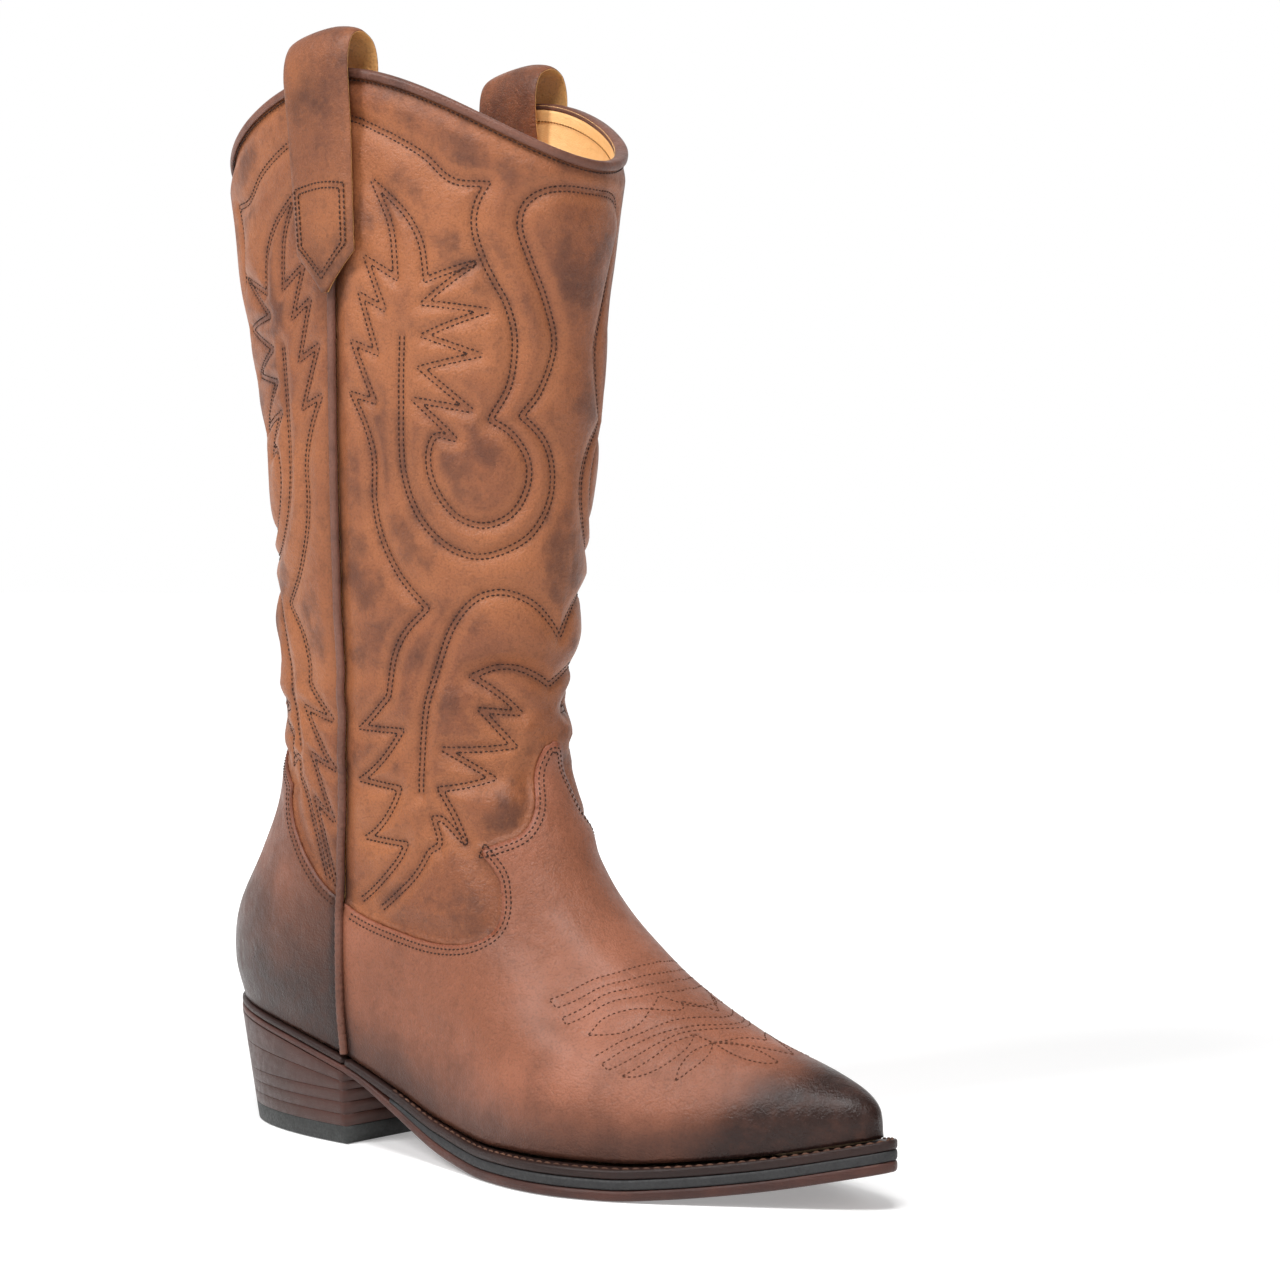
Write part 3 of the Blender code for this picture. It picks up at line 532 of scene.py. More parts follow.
def clear_of_seams(angle, level, forward, share=1.0):
    """Angles held between the edges that a panel has beside the two seams' piping."""
    row = catmull_rom(LEVELS, np.asarray(level, float))
    reach = row[..., 4] - row[..., 2] if forward else row[..., 2] - row[..., 0]
    gap = np.degrees(np.arcsin(PANEL_GAP / reach)) * share
    start, end = panel_span(forward)
    return np.clip(angle, start + gap, end - gap)


def keep_inside(rows, columns, used):
    faces = grid_faces(rows, columns)
    flat = used.reshape(-1)
    faces = [face for face in faces if all(flat[k] for k in face)]
    wanted = sorted({k for face in faces for k in face})
    renumber = {k: i for i, k in enumerate(wanted)}
    return wanted, [tuple(renumber[k] for k in face) for face in faces]


def build_panel(name, angle, level, used, height, thickness, finish, values):
    """A leather panel: height is its outer face over the skin at each grid point."""
    points = layer(angle, level, -height).reshape(-1, 3)
    wanted, faces = keep_inside(*angle.shape, used)
    obj = add_piece(name, points[wanted], faces, finish, (name,))
    for key, value in values.items():
        set_values(obj, key, value.reshape(-1)[wanted])
    thicken(obj, thickness)


def both_sides(halves):
    """Lines of the lateral half and their mirror images."""
    return [line for half in halves for line in (half, medial(half))]


def back_lines():
    halves = [behind(half) for half in HALF_PATTERN]
    return [line for half in halves for line in (half, half * (-1, 1))]


def from_seams(forward, world):
    """Distance of each point from the nearer side seam."""
    lines = [path([(angle, 0.1), (angle, 5), (angle, TOP)]) for angle in panel_span(forward)]
    return distances(near(lines), world)


def whole_edge(half, forward):
    """A panel's upper edge over both halves, in order of angle."""
    if forward:
        return np.concatenate([half, medial(half)[::-1][1:]])
    return np.concatenate([half * (-1, 1), half[::-1][1:]])


def shaft_panel(name, forward, pattern, overlay_edge, finish):
    """A shaft panel, quilted by its pattern and lapped under the vamp or the foxing."""
    start, end = panel_span(forward)
    angle, level = panel_grid(forward, SHAFT_LOW, TOP, GRID)
    world = skin(angle, level)
    row = distances(near(pattern), world)
    rim = distances(near([path([(start, TOP), ((start + end) / 2, TOP), (end, TOP)])]), world)
    seam = from_seams(forward, world)
    covered = inside_line(angle, level, overlay_edge)
    lap = np.where(covered, 0, distances(near([overlay_edge]), world))
    from_row = np.maximum(row - ROW_GAP / 2, 0)
    swell = 1 - np.exp(-from_row / PUFF_REACH)
    swell *= 0.8 + 0.3 * grain(world, 26, 3.1)
    swell *= smoothstep(rim, 2, 10) * smoothstep(seam, 1.5, 9) * smoothstep(lap, 2, 11)
    row_dip = 0.3 * np.exp(-((row - ROW_GAP / 2) / 0.8) ** 2)
    lap_dip = 0.8 * (1 - covered) * smoothstep(lap, 0, 2.5)
    height = PUFF * swell - lap_dip - row_dip - 0.35 * covered
    # Burnish along the side seams, the topline and the overlay's edge. It is also painted shade
    # there, where the panel lies low beside the piping, under the binding and at the lap.
    rubbed_and_shaded = (0.55 * np.exp(-(seam / 5) ** 2) + 0.3 * np.exp(-(rim / 7) ** 2)
              + 0.2 * np.exp(-(lap / 10) ** 2))
    # The "seam" value is painted shade: the material darkens the leather in the quilting's valleys
    # along the stitch rows.
    values = {"seam": np.exp(-(from_row / 0.9) ** 2), "rub": np.exp(-((row - 3.5) / 2.2) ** 2),
              "puff": swell, "burnish_and_shade": np.clip(rubbed_and_shaded, 0, 1)}
    build_panel(name, angle, level, np.ones(angle.shape, bool), height, SHAFT_THICK, finish,
                values)


def overlay_height(edge_gap):
    """The vamp's and foxing's outer face over the skin, thinner where they are sewn down."""
    return VAMP_OUT - 0.75 * np.exp(-(edge_gap / 3.2) ** 2)


def overlay_panel(name, forward, top, half_edge, pitch, rows, burn_and_shade, finish):
    """The vamp or the foxing: cut to its edge and sewn down over the shaft."""
    angle, level = panel_grid(forward, OVERLAY_LOW, top, pitch)
    even_level = level.copy()
    used, edge_gap = cut_to_edge(angle, level, whole_edge(half_edge, forward))
    angle = clear_of_seams(angle, even_level, forward)
    world = skin(angle, level)
    seam = from_seams(forward, world)
    height = overlay_height(edge_gap)
    height -= 0.5 * np.exp(-(seam / 3.0) ** 2)
    # The "seam" value is painted shade: darker in the dip where the overlay is thinned and sewn
    # down between its edge rows, and in the toe rows' dents.
    values = {"seam": 0.7 * np.exp(-((edge_gap - 2.6) / 1.6) ** 2), "cut": 1.0 * (edge_gap < 0.1)}
    if rows:
        row = distances(near(rows), world)
        height -= 0.22 * np.exp(-(row / 0.8) ** 2)
        values["seam"] += 0.3 * np.exp(-(row / 1.2) ** 2)
    values["seam"] = np.clip(values["seam"], 0, 1)
    # Burnish and painted shade from the given function, plus painted shade in the dip beside the
    # side seams' piping.
    values["burnish_and_shade"] = np.clip(burn_and_shade(world) + 0.5 * np.exp(-(seam / 4) ** 2), 0, 1)
    build_panel(name, angle, level, used, height, VAMP_THICK, finish, values)


def toe_burn_and_welt_shade(world):
    """How dark the vamp is: rubbed dark at the toe, and painted shade in a band low over the welt,
    where the foot's side turns to face down.
    """
    x, z = world[..., 0], world[..., 2] - feather_height(world[..., 0])
    toe = smoothstep(x - 0.35 * z + 9 * grain(world, 40, 1.7), 206, 274)
    # The second term is painted shade, darker towards the welt.
    return 0.93 * toe + 0.68 * np.exp(-(z / 23) ** 2)


def heel_burn(world):
    z = world[..., 2] - feather_height(world[..., 0])
    return 0.44 + 0.43 * smoothstep(66 - z + 14 * grain(world, 45, 5.2), 0, 56)


def lining_panel(name, forward, low, high, finish):
    angle, level = panel_grid(forward, low, high, LINING_GRID, 0.2)
    points = layer(angle, level, np.full(angle.shape, LINING_DEPTH)).reshape(-1, 3)
    obj = add_piece(name, points, grid_faces(*angle.shape), finish, (name,))
    thicken(obj, LINING_THICK)


# ---------------------------------------------------------------- stitches

def stitch_frames(line, height):
    """Centres, directions and normals of the stitches along a line of (angle, level)."""
    spots = evenly(line, STITCH_PITCH)
    middle = (spots[1:] + spots[:-1]) / 2
    tall = np.full(len(middle), 1.0) * (height(middle) if callable(height) else height)
    centre = layer(middle[:, 0], middle[:, 1], -tall)
    ends = layer(spots[:, 0], spots[:, 1], np.zeros(len(spots)))
    along = ends[1:] - ends[:-1]
    length = np.linalg.norm(along, axis=1, keepdims=True)
    return centre, along / length, outward(middle[:, 0], middle[:, 1])


RING_PLACES = (-1.0, -0.8, -0.3, 0.3, 0.8, 1.0)
RING_WIDTHS = (0.15, 0.75, 1.0, 1.0, 0.75, 0.15)
STITCH_SIDES = 6


def stitch_mesh(centre, along, up, radius=STITCH_RADIUS, length=STITCH_LENGTH):
    """Points and faces of short bowed threads whose ends sink into the leather."""
    across = np.cross(up, along)
    across /= np.linalg.norm(across, axis=1, keepdims=True)
    up = np.cross(along, across)
    points, faces = [], []
    for place, width in zip(RING_PLACES, RING_WIDTHS):
        middle = centre + along * (place * length / 2) - up * (0.3 * place * place)
        for k in range(STITCH_SIDES):
            turn = 2 * math.pi * k / STITCH_SIDES
            points.append(middle + radius * width * (across * math.cos(turn)
                                                     + up * math.sin(turn)))
    points = np.stack(points, 1)
    per = points.shape[1]
    rings = len(RING_PLACES)
    shape = grid_faces(rings, STITCH_SIDES, closed=True)
    shape += [tuple(range(STITCH_SIDES))[::-1],
              tuple((rings - 1) * STITCH_SIDES + k for k in range(STITCH_SIDES))]
    for i in range(len(centre)):
        faces += [tuple(k + i * per for k in face) for face in shape]
    return points.reshape(-1, 3), faces


def sew(name, rows, finish, node):
    """One piece with the stitches of many rows, each row a (line, height) pair."""
    parts = zip(*(stitch_frames(line, height) for line, height in rows))
    points, faces = stitch_mesh(*map(np.concatenate, parts))
    add_piece(name, points, faces, finish, (node,))


def double(lines, height):
    """Two rows along each line, as a double seam."""
    return [(beside(line, side * ROW_GAP / 2), height) for line in lines for side in (-1, 1)]


def build_stitching(thread, toe_thread, gold_thread):
    flush = -0.9                  # the shaft's rows lie in the valleys of the quilting
    sew("shaft_stitching_front", double(both_sides(HALF_PATTERN), flush), thread, "shaft_front")
    sew("shaft_stitching_back", double(back_lines(), flush), thread, "shaft_back")
    for name, half, forward, node in (("vamp_stitching", VAMP_EDGE, True, "vamp_thread"),
                                      ("foxing_stitching", FOXING_EDGE, False,
                                       "foxing_thread")):
        edge = whole_edge(half, forward)
        clear = [np.abs(edge[:, 0] - seam) > 2 for seam in panel_span(forward)]
        edge = edge[clear[0] & clear[1]]
        rows = [(beside(edge, -offset), overlay_height(offset) + 0.08) for offset in (1.5, 3.3)]
        sew(name, rows, thread, node)
    rows = [(line, VAMP_OUT - 0.12) for line in both_sides(TOE_ROWS)]
    sew("toe_stitching", rows, toe_thread, "vamp")
    for name, first, node in (("topline_stitching_front", 92, "topline_thread_front"),
                              ("topline_stitching_back", -88, "topline_thread_back")):
        turns, levels = (0, 43, 88, 133, 176), (9.94, 9.93, 9.92, 9.93, 9.94)
        rim = path([(first + turn, level) for turn, level in zip(turns, levels)])
        sew(name, [(rim, 0.05)], thread, node)
    rim = path([(0, 9.88), (90, 9.89), (180, 9.86), (270, 9.89), (360, 9.88)])
    sew("lining_stitching", [(rim, -LINING_DEPTH - 1.1)], gold_thread, "shaft_lining_front")
    rows = [(path([(angle, 5.3), (angle, 7), (angle, 8.6)]), flush) for angle in (86.5, 273.5)]
    sew("side_seam_stitching_back", rows, thread, "shaft_back")


# ---------------------------------------------------------------- trims

def sweep(name, rings, finish, closed=False):
    """A skin over rings of points, closed into a loop or capped at its ends."""
    rings = np.asarray(rings)
    count, sides = rings.shape[:2]
    faces = grid_faces(count, sides, closed=True)
    last = (count - 1) * sides
    if closed:
        faces += [(last + k, last + (k + 1) % sides, (k + 1) % sides, k) for k in range(sides)]
    else:
        faces += [tuple(range(sides))[::-1], tuple(range(last, last + sides))]
    obj = add_piece(name, rings.reshape(-1, 3), faces, finish, (name,))
    face_outwards(obj)
    return obj


def build_piping(finish):
    """The bead in each side seam, from under the strap down to the welt."""
    levels = np.linspace(0.05, 9.86, 420)
    proud = 0.75 + 1.0 * smoothstep(levels, 3.6, 2.8)
    turns = np.linspace(0, 2 * math.pi, 14, endpoint=False)
    for name, angle in (("side_piping_lateral", 90.0), ("side_piping_medial", 270.0)):
        around = np.full_like(levels, angle)
        centre = layer(around, levels, -proud)
        out = outward(around, levels)
        side = np.cross(out, unit(np.gradient(centre, axis=0)))
        pull = 1 + 0.05 * np.sin(run_length(skin(around, levels)) * 2.2)
        rings = [centre + PIPING_RADIUS * pull[:, None] * (side * math.cos(t)
                                                           + out * 1.05 * math.sin(t))
                 for t in turns]
        sweep(name, np.stack(rings, 1), finish)


# The binding's section: depth under the skin and height over the topline.
BINDING = ((-0.5, -2.3), (-0.8, -2.1), (-1.0, -1.4), (-1.05, -0.4), (-0.9, 0.3), (-0.4, 0.75),
           (0.3, 0.95), (1.5, 1.0), (2.6, 0.85), (3.4, 0.4), (3.8, -0.3), (3.8, -1.0),
           (3.75, -1.5), (3.4, -1.6), (3.3, -0.8), (0.2, -0.8), (0.0, -2.3))


def build_binding(finish):
    angles = np.arange(0, 360, 1.25)
    top = np.full_like(angles, TOP)
    rim = layer(angles, top, 0 * angles)
    inwards = -outward(angles, top)
    down = unit(skin(angles, top - 0.1) - skin(angles, top))
    rings = [rim + inwards * depth - down * height for depth, height in BINDING]
    sweep("topline_binding", np.stack(rings, 1), finish, closed=True)


# A pull strap's centreline: height from the topline, and how far out of the skin it lies.
STRAP_PATH = ((-75, 3.6), (-60, 3.8), (-45, 3.9), (-20, 4.4), (-4, 5.2), (5, 5.2), (11, 3.4),
              (13.5, 0.0), (13.5, -3.5), (10.5, -8.0), (4, -10.0), (-5, -9.6), (-20, -7.4),
              (-42, -6.6), (-58, -6.6))
STRAP_LEAN = 4.5
STRAP_TAPER = 15.0     # length of the pointed end


def strap_half_width(height):
    """Half the strap's width at a height, for the outer leg's pointed end."""
    share = np.clip((height - STRAP_PATH[0][0]) / STRAP_TAPER, 0, 1)
    return 1.2 + (STRAP_WIDTH / 2 - 1.2) * share


def strap_place(side, height, out, across):
    """A point of a strap: its height from the topline, how far out, and across its width."""
    row = LEVELS[-1]
    lean = STRAP_LEAN * (min(1.0, (height + 75) / 75) if out > 0 else 1.0)
    x = across - lean
    reach = row[4] - row[2] if x > 0 else row[2] - row[0]
    angle = 90 + math.degrees(math.asin(x / reach))
    angle = angle if side < 0 else 360 - angle
    levels = np.linspace(7, TOP, 80)
    heights = skin(np.full_like(levels, angle), levels)[:, 2]
    level = np.interp(heights[-1] + height, heights, levels)
    place = layer(np.array([angle]), np.array([level]), np.array([-out]))[0]
    place[2] = heights[-1] + height
    return place


def build_strap(name, side, leather, thread):
    """A pull strap: an outer leg with a pointed end, over the topline and down inside."""
    stations = catmull_rom(np.array(STRAP_PATH, float), np.linspace(0, len(STRAP_PATH) - 1, 113))
    shares = np.sin(np.linspace(-math.pi / 2, math.pi / 2, 19))
    middle = np.array([[strap_place(side, height, out, share * (
        strap_half_width(height) if out > 0 else STRAP_WIDTH / 2)) for share in shares]
        for height, out in stations])
    run = np.gradient(middle, axis=0)
    width = np.gradient(middle, axis=1)
    normal = np.cross(width, run) if side < 0 else np.cross(run, width)
    normal = unit(normal)
    if normal[8, 9, 1] * side < 0:
        normal = -normal
    round_edge = np.sqrt(np.clip(1 - np.abs(shares) ** 6, 0.04, 1))
    half = STRAP_THICK / 2 * round_edge[None, :, None]
    bow = 0.35 * (1 - shares ** 2)[None, :, None]
    outer, inner = middle + normal * (half + bow), middle - normal * (half - bow)
    rings = np.concatenate([outer, inner[:, ::-1]], axis=1)
    obj = sweep(name, rings, leather)
    across = np.tile(np.concatenate([shares, shares[::-1]]), len(stations))
    # Darker along the strap's two long edges, through the leather's "seam" value.
    set_values(obj, "seam", np.clip((np.abs(across) - 0.9) / 0.1, 0, 1) * 0.6)
    inside = np.tile(np.concatenate([0 * shares, 1 + 0 * shares]), len(stations))
    set_values(obj, "flesh", inside)
    set_values(obj, "burnish_and_shade", np.full(across.shape, 0.3))
    sew_strap(name, side, thread)


def sew_strap(name, side, thread):
    """The seam that holds the outer leg: down both sides to its point, and across the top."""
    inset, top, turn = 2.6, -38.0, -58.0
    corners = ((top, -1), (turn, -1), (STRAP_PATH[0][0] + 4.2, 0), (turn, 1), (top, 1), (top, -1))
    centres, directions, ups = [], [], []
    for row_inset in (inset, inset + 2.0):
        spots = []
        for height, sign in corners:
            reach = max(strap_half_width(height) - row_inset, 0.0)
            lift = row_inset - inset if sign == 0 else (0 if height == turn else inset - row_inset)
            spots.append((height + lift, sign * reach))
        for (h0, a0), (h1, a1) in zip(spots, spots[1:]):
            steps = max(2, round(math.hypot(h1 - h0, a1 - a0) / STITCH_PITCH))
            line = [(h0 + (h1 - h0) * k / steps, a0 + (a1 - a0) * k / steps)
                    for k in range(steps + 1)]
            outs = [np.interp(h, *zip(*STRAP_PATH[:6])) for h, _ in line]
            places = np.array([strap_place(side, h, o + STRAP_THICK / 2 + 0.42, a)
                               for (h, a), o in zip(line, outs)])
            centres.append((places[1:] + places[:-1]) / 2)
            directions.append(unit(np.diff(places, axis=0)))
            ups.append(np.tile((0.0, float(side), 0.0), (steps, 1)))
    points, faces = stitch_mesh(*map(np.concatenate, (centres, directions, ups)))
    add_piece(name + "_stitching", points, faces, thread, (name,))


# ---------------------------------------------------------------- sole and heel

def outline(angle, out):
    """The feather line in plan, grown outwards by out, with the height it rests at."""
    angle = np.asarray(angle, float)
    point = skin(angle, np.zeros_like(angle))
    width, toe = LEVELS[0, 6], LEVELS[0, 12]
    along = -np.cos(np.radians(angle))
    middle = toe * np.maximum(along, 0) ** 2.2
    moved = point.copy()
    moved[..., 0] += out * along
    moved[..., 1] = middle + (point[..., 1] - middle) * (1 + out / width)
    moved[..., 2] = feather_height(moved[..., 0])
    return moved


def welt_out(angle):
    turn = np.abs(180 - (np.asarray(angle, float) % 360))
    at_toe = 1.8 * np.exp(-(turn / 22) ** 2)
    return WELT_OUT + (SEAT_OUT - WELT_OUT) * smoothstep(turn, 52, 90) + at_toe


def forefoot_share(x):
    return smoothstep(x, 70, 115)


def welt_bottom(x):
    return 2.7 + 0.8 * forefoot_share(x)


def midsole_bottom(x):
    return welt_bottom(x) + 0.25 + 3.1 * np.clip((np.asarray(x, float) - 84) / 45, 0, 1)


def outsole_bottom(x):
    return midsole_bottom(x) + 0.25 + 2.25 + 1.15 * forefoot_share(x)


def edge_profile(bulge, steps=9):
    """(share of the thickness, how far out) round an edge, from its top to its bottom."""
    for k in range(steps):
        share = k / (steps - 1)
        yield share, -bulge * abs(2 * share - 1) ** 4


def rim_strip(name, angles, upper, lower, bulge, finish):
    """A strip round the boot's lower edge: the welt, and the rand behind."""
    edge = welt_out(angles)
    rings = []
    for share, out in edge_profile(bulge):
        ring = outline(angles, edge + out)
        ring[:, 2] -= upper(ring[:, 0]) * (1 - share) + lower(ring[:, 0]) * share
        rings.append(ring)
    for depth in (lower, upper):
        ring = outline(angles, 0 * angles - WELT_IN)
        ring[:, 2] -= depth(ring[:, 0])
        rings.append(ring)
    return sweep(name, np.stack(rings, 1), finish)


def plate(name, start, end, upper, lower, bulge, finish):
    """A full plate of the sole with a rounded edge."""
    tips = np.array([0.2, 0.5, 0.8])
    angles = np.concatenate([tips, np.arange(1, 179.5, 1.0), 180 - tips[::-1]])
    angles = angles[(angles >= start) & (angles <= end)]
    across = np.linspace(0, 1, 15)[1:-1]
    rings = []
    for angle in angles:
        lateral, other = [], []
        for share, out in edge_profile(bulge):
            for side, turn in ((lateral, angle), (other, 360 - angle)):
                point = outline(np.array([turn]), welt_out(angle) + out)[0]
                x = point[0]
                point[2] -= float(upper(x)) * (1 - share) + float(lower(x)) * share
                side.append(point)
        bottom = [lateral[-1] * (1 - s) + other[-1] * s for s in across]
        top = [other[0] * (1 - s) + lateral[0] * s for s in across]
        rings.append(lateral + bottom + other[::-1] + top)
    return sweep(name, np.array(rings), finish)


def constant(value):
    return lambda x: np.full(np.shape(x), float(value))


def heel_rings(heights, insets):
    """The heel's outline at each height, a function of the seat's height."""
    angles = np.concatenate([[-90], np.arange(-88, 89, 2.0), [90]])
    rings = []
    for height, inset in zip(heights, insets):
        point = outline(angles, welt_out(angles) - inset)
        seat = point[:, 2] - outsole_bottom(point[:, 0]) - 0.1
        z = height(seat)
        drop = 1 - z / seat
        x = HEEL_BREAST - (HEEL_BREAST - point[:, 0]) * (1 - drop * HEEL_BACK_TAPER / 84)
        y = point[:, 1] * (1 - drop * HEEL_SIDE_TAPER / 32)
        breast = HEEL_BREAST - 1.2 * (1 - (y / 32) ** 2) - inset
        rings.append(np.stack([np.minimum(x, breast), y, z], -1))
    return rings


def heel_layer(name, low, high, finish):
    shares = (0.0, 0.04, 0.5, 0.96, 1.0)
    insets = (0.13, 0.0, 0.0, 0.0, 0.13)
    rings = heel_rings([lambda seat, s=s: low(seat) * (1 - s) + high(seat) * s for s in shares],
                       insets)
    sweep(name, rings, finish)


def build_bottom(finishes):
    forefoot = np.concatenate([[90.4], np.arange(91, 269.5, 1.0), [269.6]])
    heel = np.concatenate([[-89.6], np.arange(-89, 89.5, 1.0), [89.6]])
    rim_strip("welt", forefoot, constant(WELT_DROP), welt_bottom, 0.5, finishes["welt"])
    rim_strip("heel_rand", heel, constant(WELT_DROP), welt_bottom, 0.7, finishes["welt"])
    plate("midsole", 97, 180, lambda x: welt_bottom(x) + 0.2, midsole_bottom, 0.35,
          finishes["midsole"])
    plate("outsole", 0, 180, lambda x: midsole_bottom(x) + 0.2, outsole_bottom, 0.6,
          finishes["outsole"])
    sew_welt(finishes["welt_thread"])
    build_heel(finishes["rubber"], finishes["heel"])


def sew_welt(thread):
    """The coarse row on the welt's upper face, round the forefoot."""
    pitch, radius, length = 3.4, 0.45, 2.7
    turns = np.arange(97, 263.5, 0.5)
    spots = outline(turns, welt_out(turns) - 1.5)
    run = run_length(spots)
    spots = resampled(spots, run, round(run[-1] / pitch))
    centre = (spots[1:] + spots[:-1]) / 2 + (0, 0, 0.1 - WELT_DROP)
    up = np.tile((0.0, 0.0, 1.0), (len(centre), 1))
    points, faces = stitch_mesh(centre, unit(np.diff(spots, axis=0)), up, radius, length)
    add_piece("welt_stitching", points, faces, thread, ("welt_thread",))


def build_heel(rubber, leather):
    """The rubber top lift, and leather lifts: level ones below, wedges up to the sloping seat."""
    lifts, level_lifts, lowest, thick = 5, 3, 6.2, 4.3
    wedges_from = lowest + level_lifts * thick

    def boundary(k):
        if k <= level_lifts:
            return lambda seat: np.full_like(seat, lowest + k * thick)
        share = (k - level_lifts) / (lifts - level_lifts)
        return lambda seat: wedges_from + (seat - wedges_from) * share

    heel_layer("top_lift", lambda seat: 0 * seat, boundary(0), rubber)
    for k in range(lifts):
        heel_layer(f"heel_lift_{lifts - k}", boundary(k), boundary(k + 1), leather)


def build_footbed(finish):
    """The sock liner that the foot stands on, seen down the shaft."""
    angles = np.concatenate([[2], np.arange(4, 177, 3.0), [178]])
    rings = []
    across = np.linspace(0, 1, 13)
    for angle in angles:
        a = outline(np.array([angle]), -5.0)[0]
        b = outline(np.array([360 - angle]), -5.0)[0]
        rung = [a * (1 - s) + b * s for s in across]
        cup = [0.9 * (2 * s - 1) ** 2 for s in across]
        top = [p + (0, 0, 6.0 + c) for p, c in zip(rung, cup)]
        rings.append(top + [p + (0, 0, 4.9) for p in rung[::-1]])
    sweep("sock_liner", np.array(rings), finish)


# ---------------------------------------------------------------- materials

class Finish:
    """A material whose colour, roughness and relief come from nodes."""

    def __init__(self, name, **sockets):
        self.material = bpy.data.materials.new(name)
        self.material.use_nodes = True
        self.tree = self.material.node_tree
        self.shader = self.tree.nodes["Principled BSDF"]
        for key, value in sockets.items():
            self.shader.inputs[key.replace("_", " ")].default_value = value
        self.place = self.node("TexCoord").outputs["Object"]

    def node(self, kind, inputs=None, **settings):
        made = self.tree.nodes.new("ShaderNode" + kind)
        for key, value in settings.items():
            setattr(made, key, value)
        for key, value in (inputs or {}).items():
            self.join(value, made.inputs[key])
        return made

    def join(self, value, socket):
        if isinstance(value, bpy.types.NodeSocket):
            self.tree.links.new(value, socket)
        else:
            socket.default_value = value

    def stretched(self, scale):
        """Object coordinates in metres, scaled by axis."""
        return self.node("Mapping", {"Vector": self.place, "Scale": scale}).outputs[0]

    def clouds(self, scale, detail=4.0, rough=0.55, place=None):
        inputs = {"Vector": place or self.place, "Scale": scale, "Detail": detail,
                  "Roughness": rough}
        return self.node("TexNoise", inputs).outputs[0]

    def pebbles(self, scale):
        """0 at the middle of each pebble of grain, rising to its edge."""
        inputs = {"Vector": self.place, "Scale": scale}
        return self.node("TexVoronoi", inputs, feature="F1").outputs["Distance"]

    def value(self, name):
        return self.node("Attribute", attribute_name=name).outputs["Fac"]

    def share(self, value, low, high, start=0.0, end=1.0):
        inputs = {0: value, 1: low, 2: high, 3: start, 4: end}
        return self.node("MapRange", inputs, interpolation_type="SMOOTHSTEP").outputs[0]

    def math(self, kind, a, b):
        return self.node("Math", {0: a, 1: b}, operation=kind).outputs[0]

    def mix(self, share, a, b):
        made = self.node("Mix", data_type="RGBA")
        for value, index in ((share, 0), (a, 6), (b, 7)):
            if isinstance(value, tuple) and len(value) == 3:
                value = (*value, 1.0)
            self.join(value, made.inputs[index])
        return made.outputs[2]

    def relief(self, *layers):
        """Bump from (height, depth in metres) layers."""
        normal = None
        for height, depth in layers:
            bump = self.node("Bump", {"Height": height, "Distance": depth, "Strength": 1.0})
            if normal is not None:
                self.join(normal, bump.inputs["Normal"])
            normal = bump.outputs[0]
        self.join(normal, self.shader.inputs["Normal"])

    def set(self, **sockets):
        for key, value in sockets.items():
            if isinstance(value, tuple) and len(value) == 3:
                value = (*value, 1.0)
            self.join(value, self.shader.inputs[key.replace("_", " ")])


def burnished_leather(name, tan, light, dark, burnt, mottle=1.0, gloss=0.0):
    """Pull-up leather: cloudy colour, painted shade in the seams' dips, rubbed dark at toe and
    counter, with painted shade low over the welt and beside the piping.
    """
    f = Finish(name, Coat_Weight=0.03 + gloss, Coat_Roughness=0.3, Specular_IOR_Level=0.28)
    wide, mid = f.clouds(17, 3), f.clouds(42, 4, 0.6)
    fine, streaks = f.clouds(170, 5, 0.65), f.clouds(420, 3, 0.6)
    colour = f.mix(f.share(wide, 0.42, 0.66), tan, light)
    colour = f.mix(f.share(mid, 0.48, 0.72, 0.0, 0.75 * mottle), colour, dark)
    colour = f.mix(f.share(fine, 0.5, 0.78, 0.0, 0.5 * mottle), colour, dark)
    colour = f.mix(f.share(streaks, 0.48, 0.78, 0.0, 0.45), colour, light)
    shade = f.math("MULTIPLY", f.value("puff"), f.share(mid, 0.36, 0.62))
    colour = f.mix(f.share(shade, 0.2, 1.0, 0.0, 0.5), colour, dark)
    colour = f.mix(f.share(f.value("rub"), 0.2, 1.0, 0.0, 0.45), colour, light)
    # Painted shade where the "seam" value is high: the quilting's valleys and the overlays'
    # sewn-down dips. On the straps it darkens their long edges.
    colour = f.mix(f.share(f.value("seam"), 0.15, 1.0, 0.0, 0.16), colour, dark)
    colour = f.mix(f.share(f.value("cut"), 0.3, 0.9, 0.0, 0.8), colour, RAW_EDGE)
    # Burnish at the toe, the counter and the panels' edges, with painted shade low over the welt
    # and in the dips beside the piping, the binding and the laps.
    patchy = f.math("ADD", f.value("burnish_and_shade"), f.share(mid, 0.3, 0.7, -0.07, 0.07))
    burn_and_shade = f.share(patchy, 0.08, 0.95)
    colour = f.mix(burn_and_shade, colour, f.mix(f.share(fine, 0.4, 0.8, 0.0, 0.5), burnt, dark))
    colour = f.mix(f.share(f.value("flesh"), 0.4, 0.6), colour, FLESH)
    pores = f.pebbles(1350)
    colour = f.mix(f.share(pores, 0.45, 0.95, 0.0, 0.22), colour, burnt)
    rough = f.share(fine, 0.3, 0.75, 0.38, 0.58)
    rough = f.math("SUBTRACT", rough, f.share(burn_and_shade, 0.2, 1.0, 0.0, 0.12))
    f.set(Base_Color=colour, Roughness=rough)
    f.relief((f.clouds(95, 5, 0.6), 0.0008), (f.clouds(360, 6, 0.7), 0.0004), (pores, -0.00012))
    return f.material


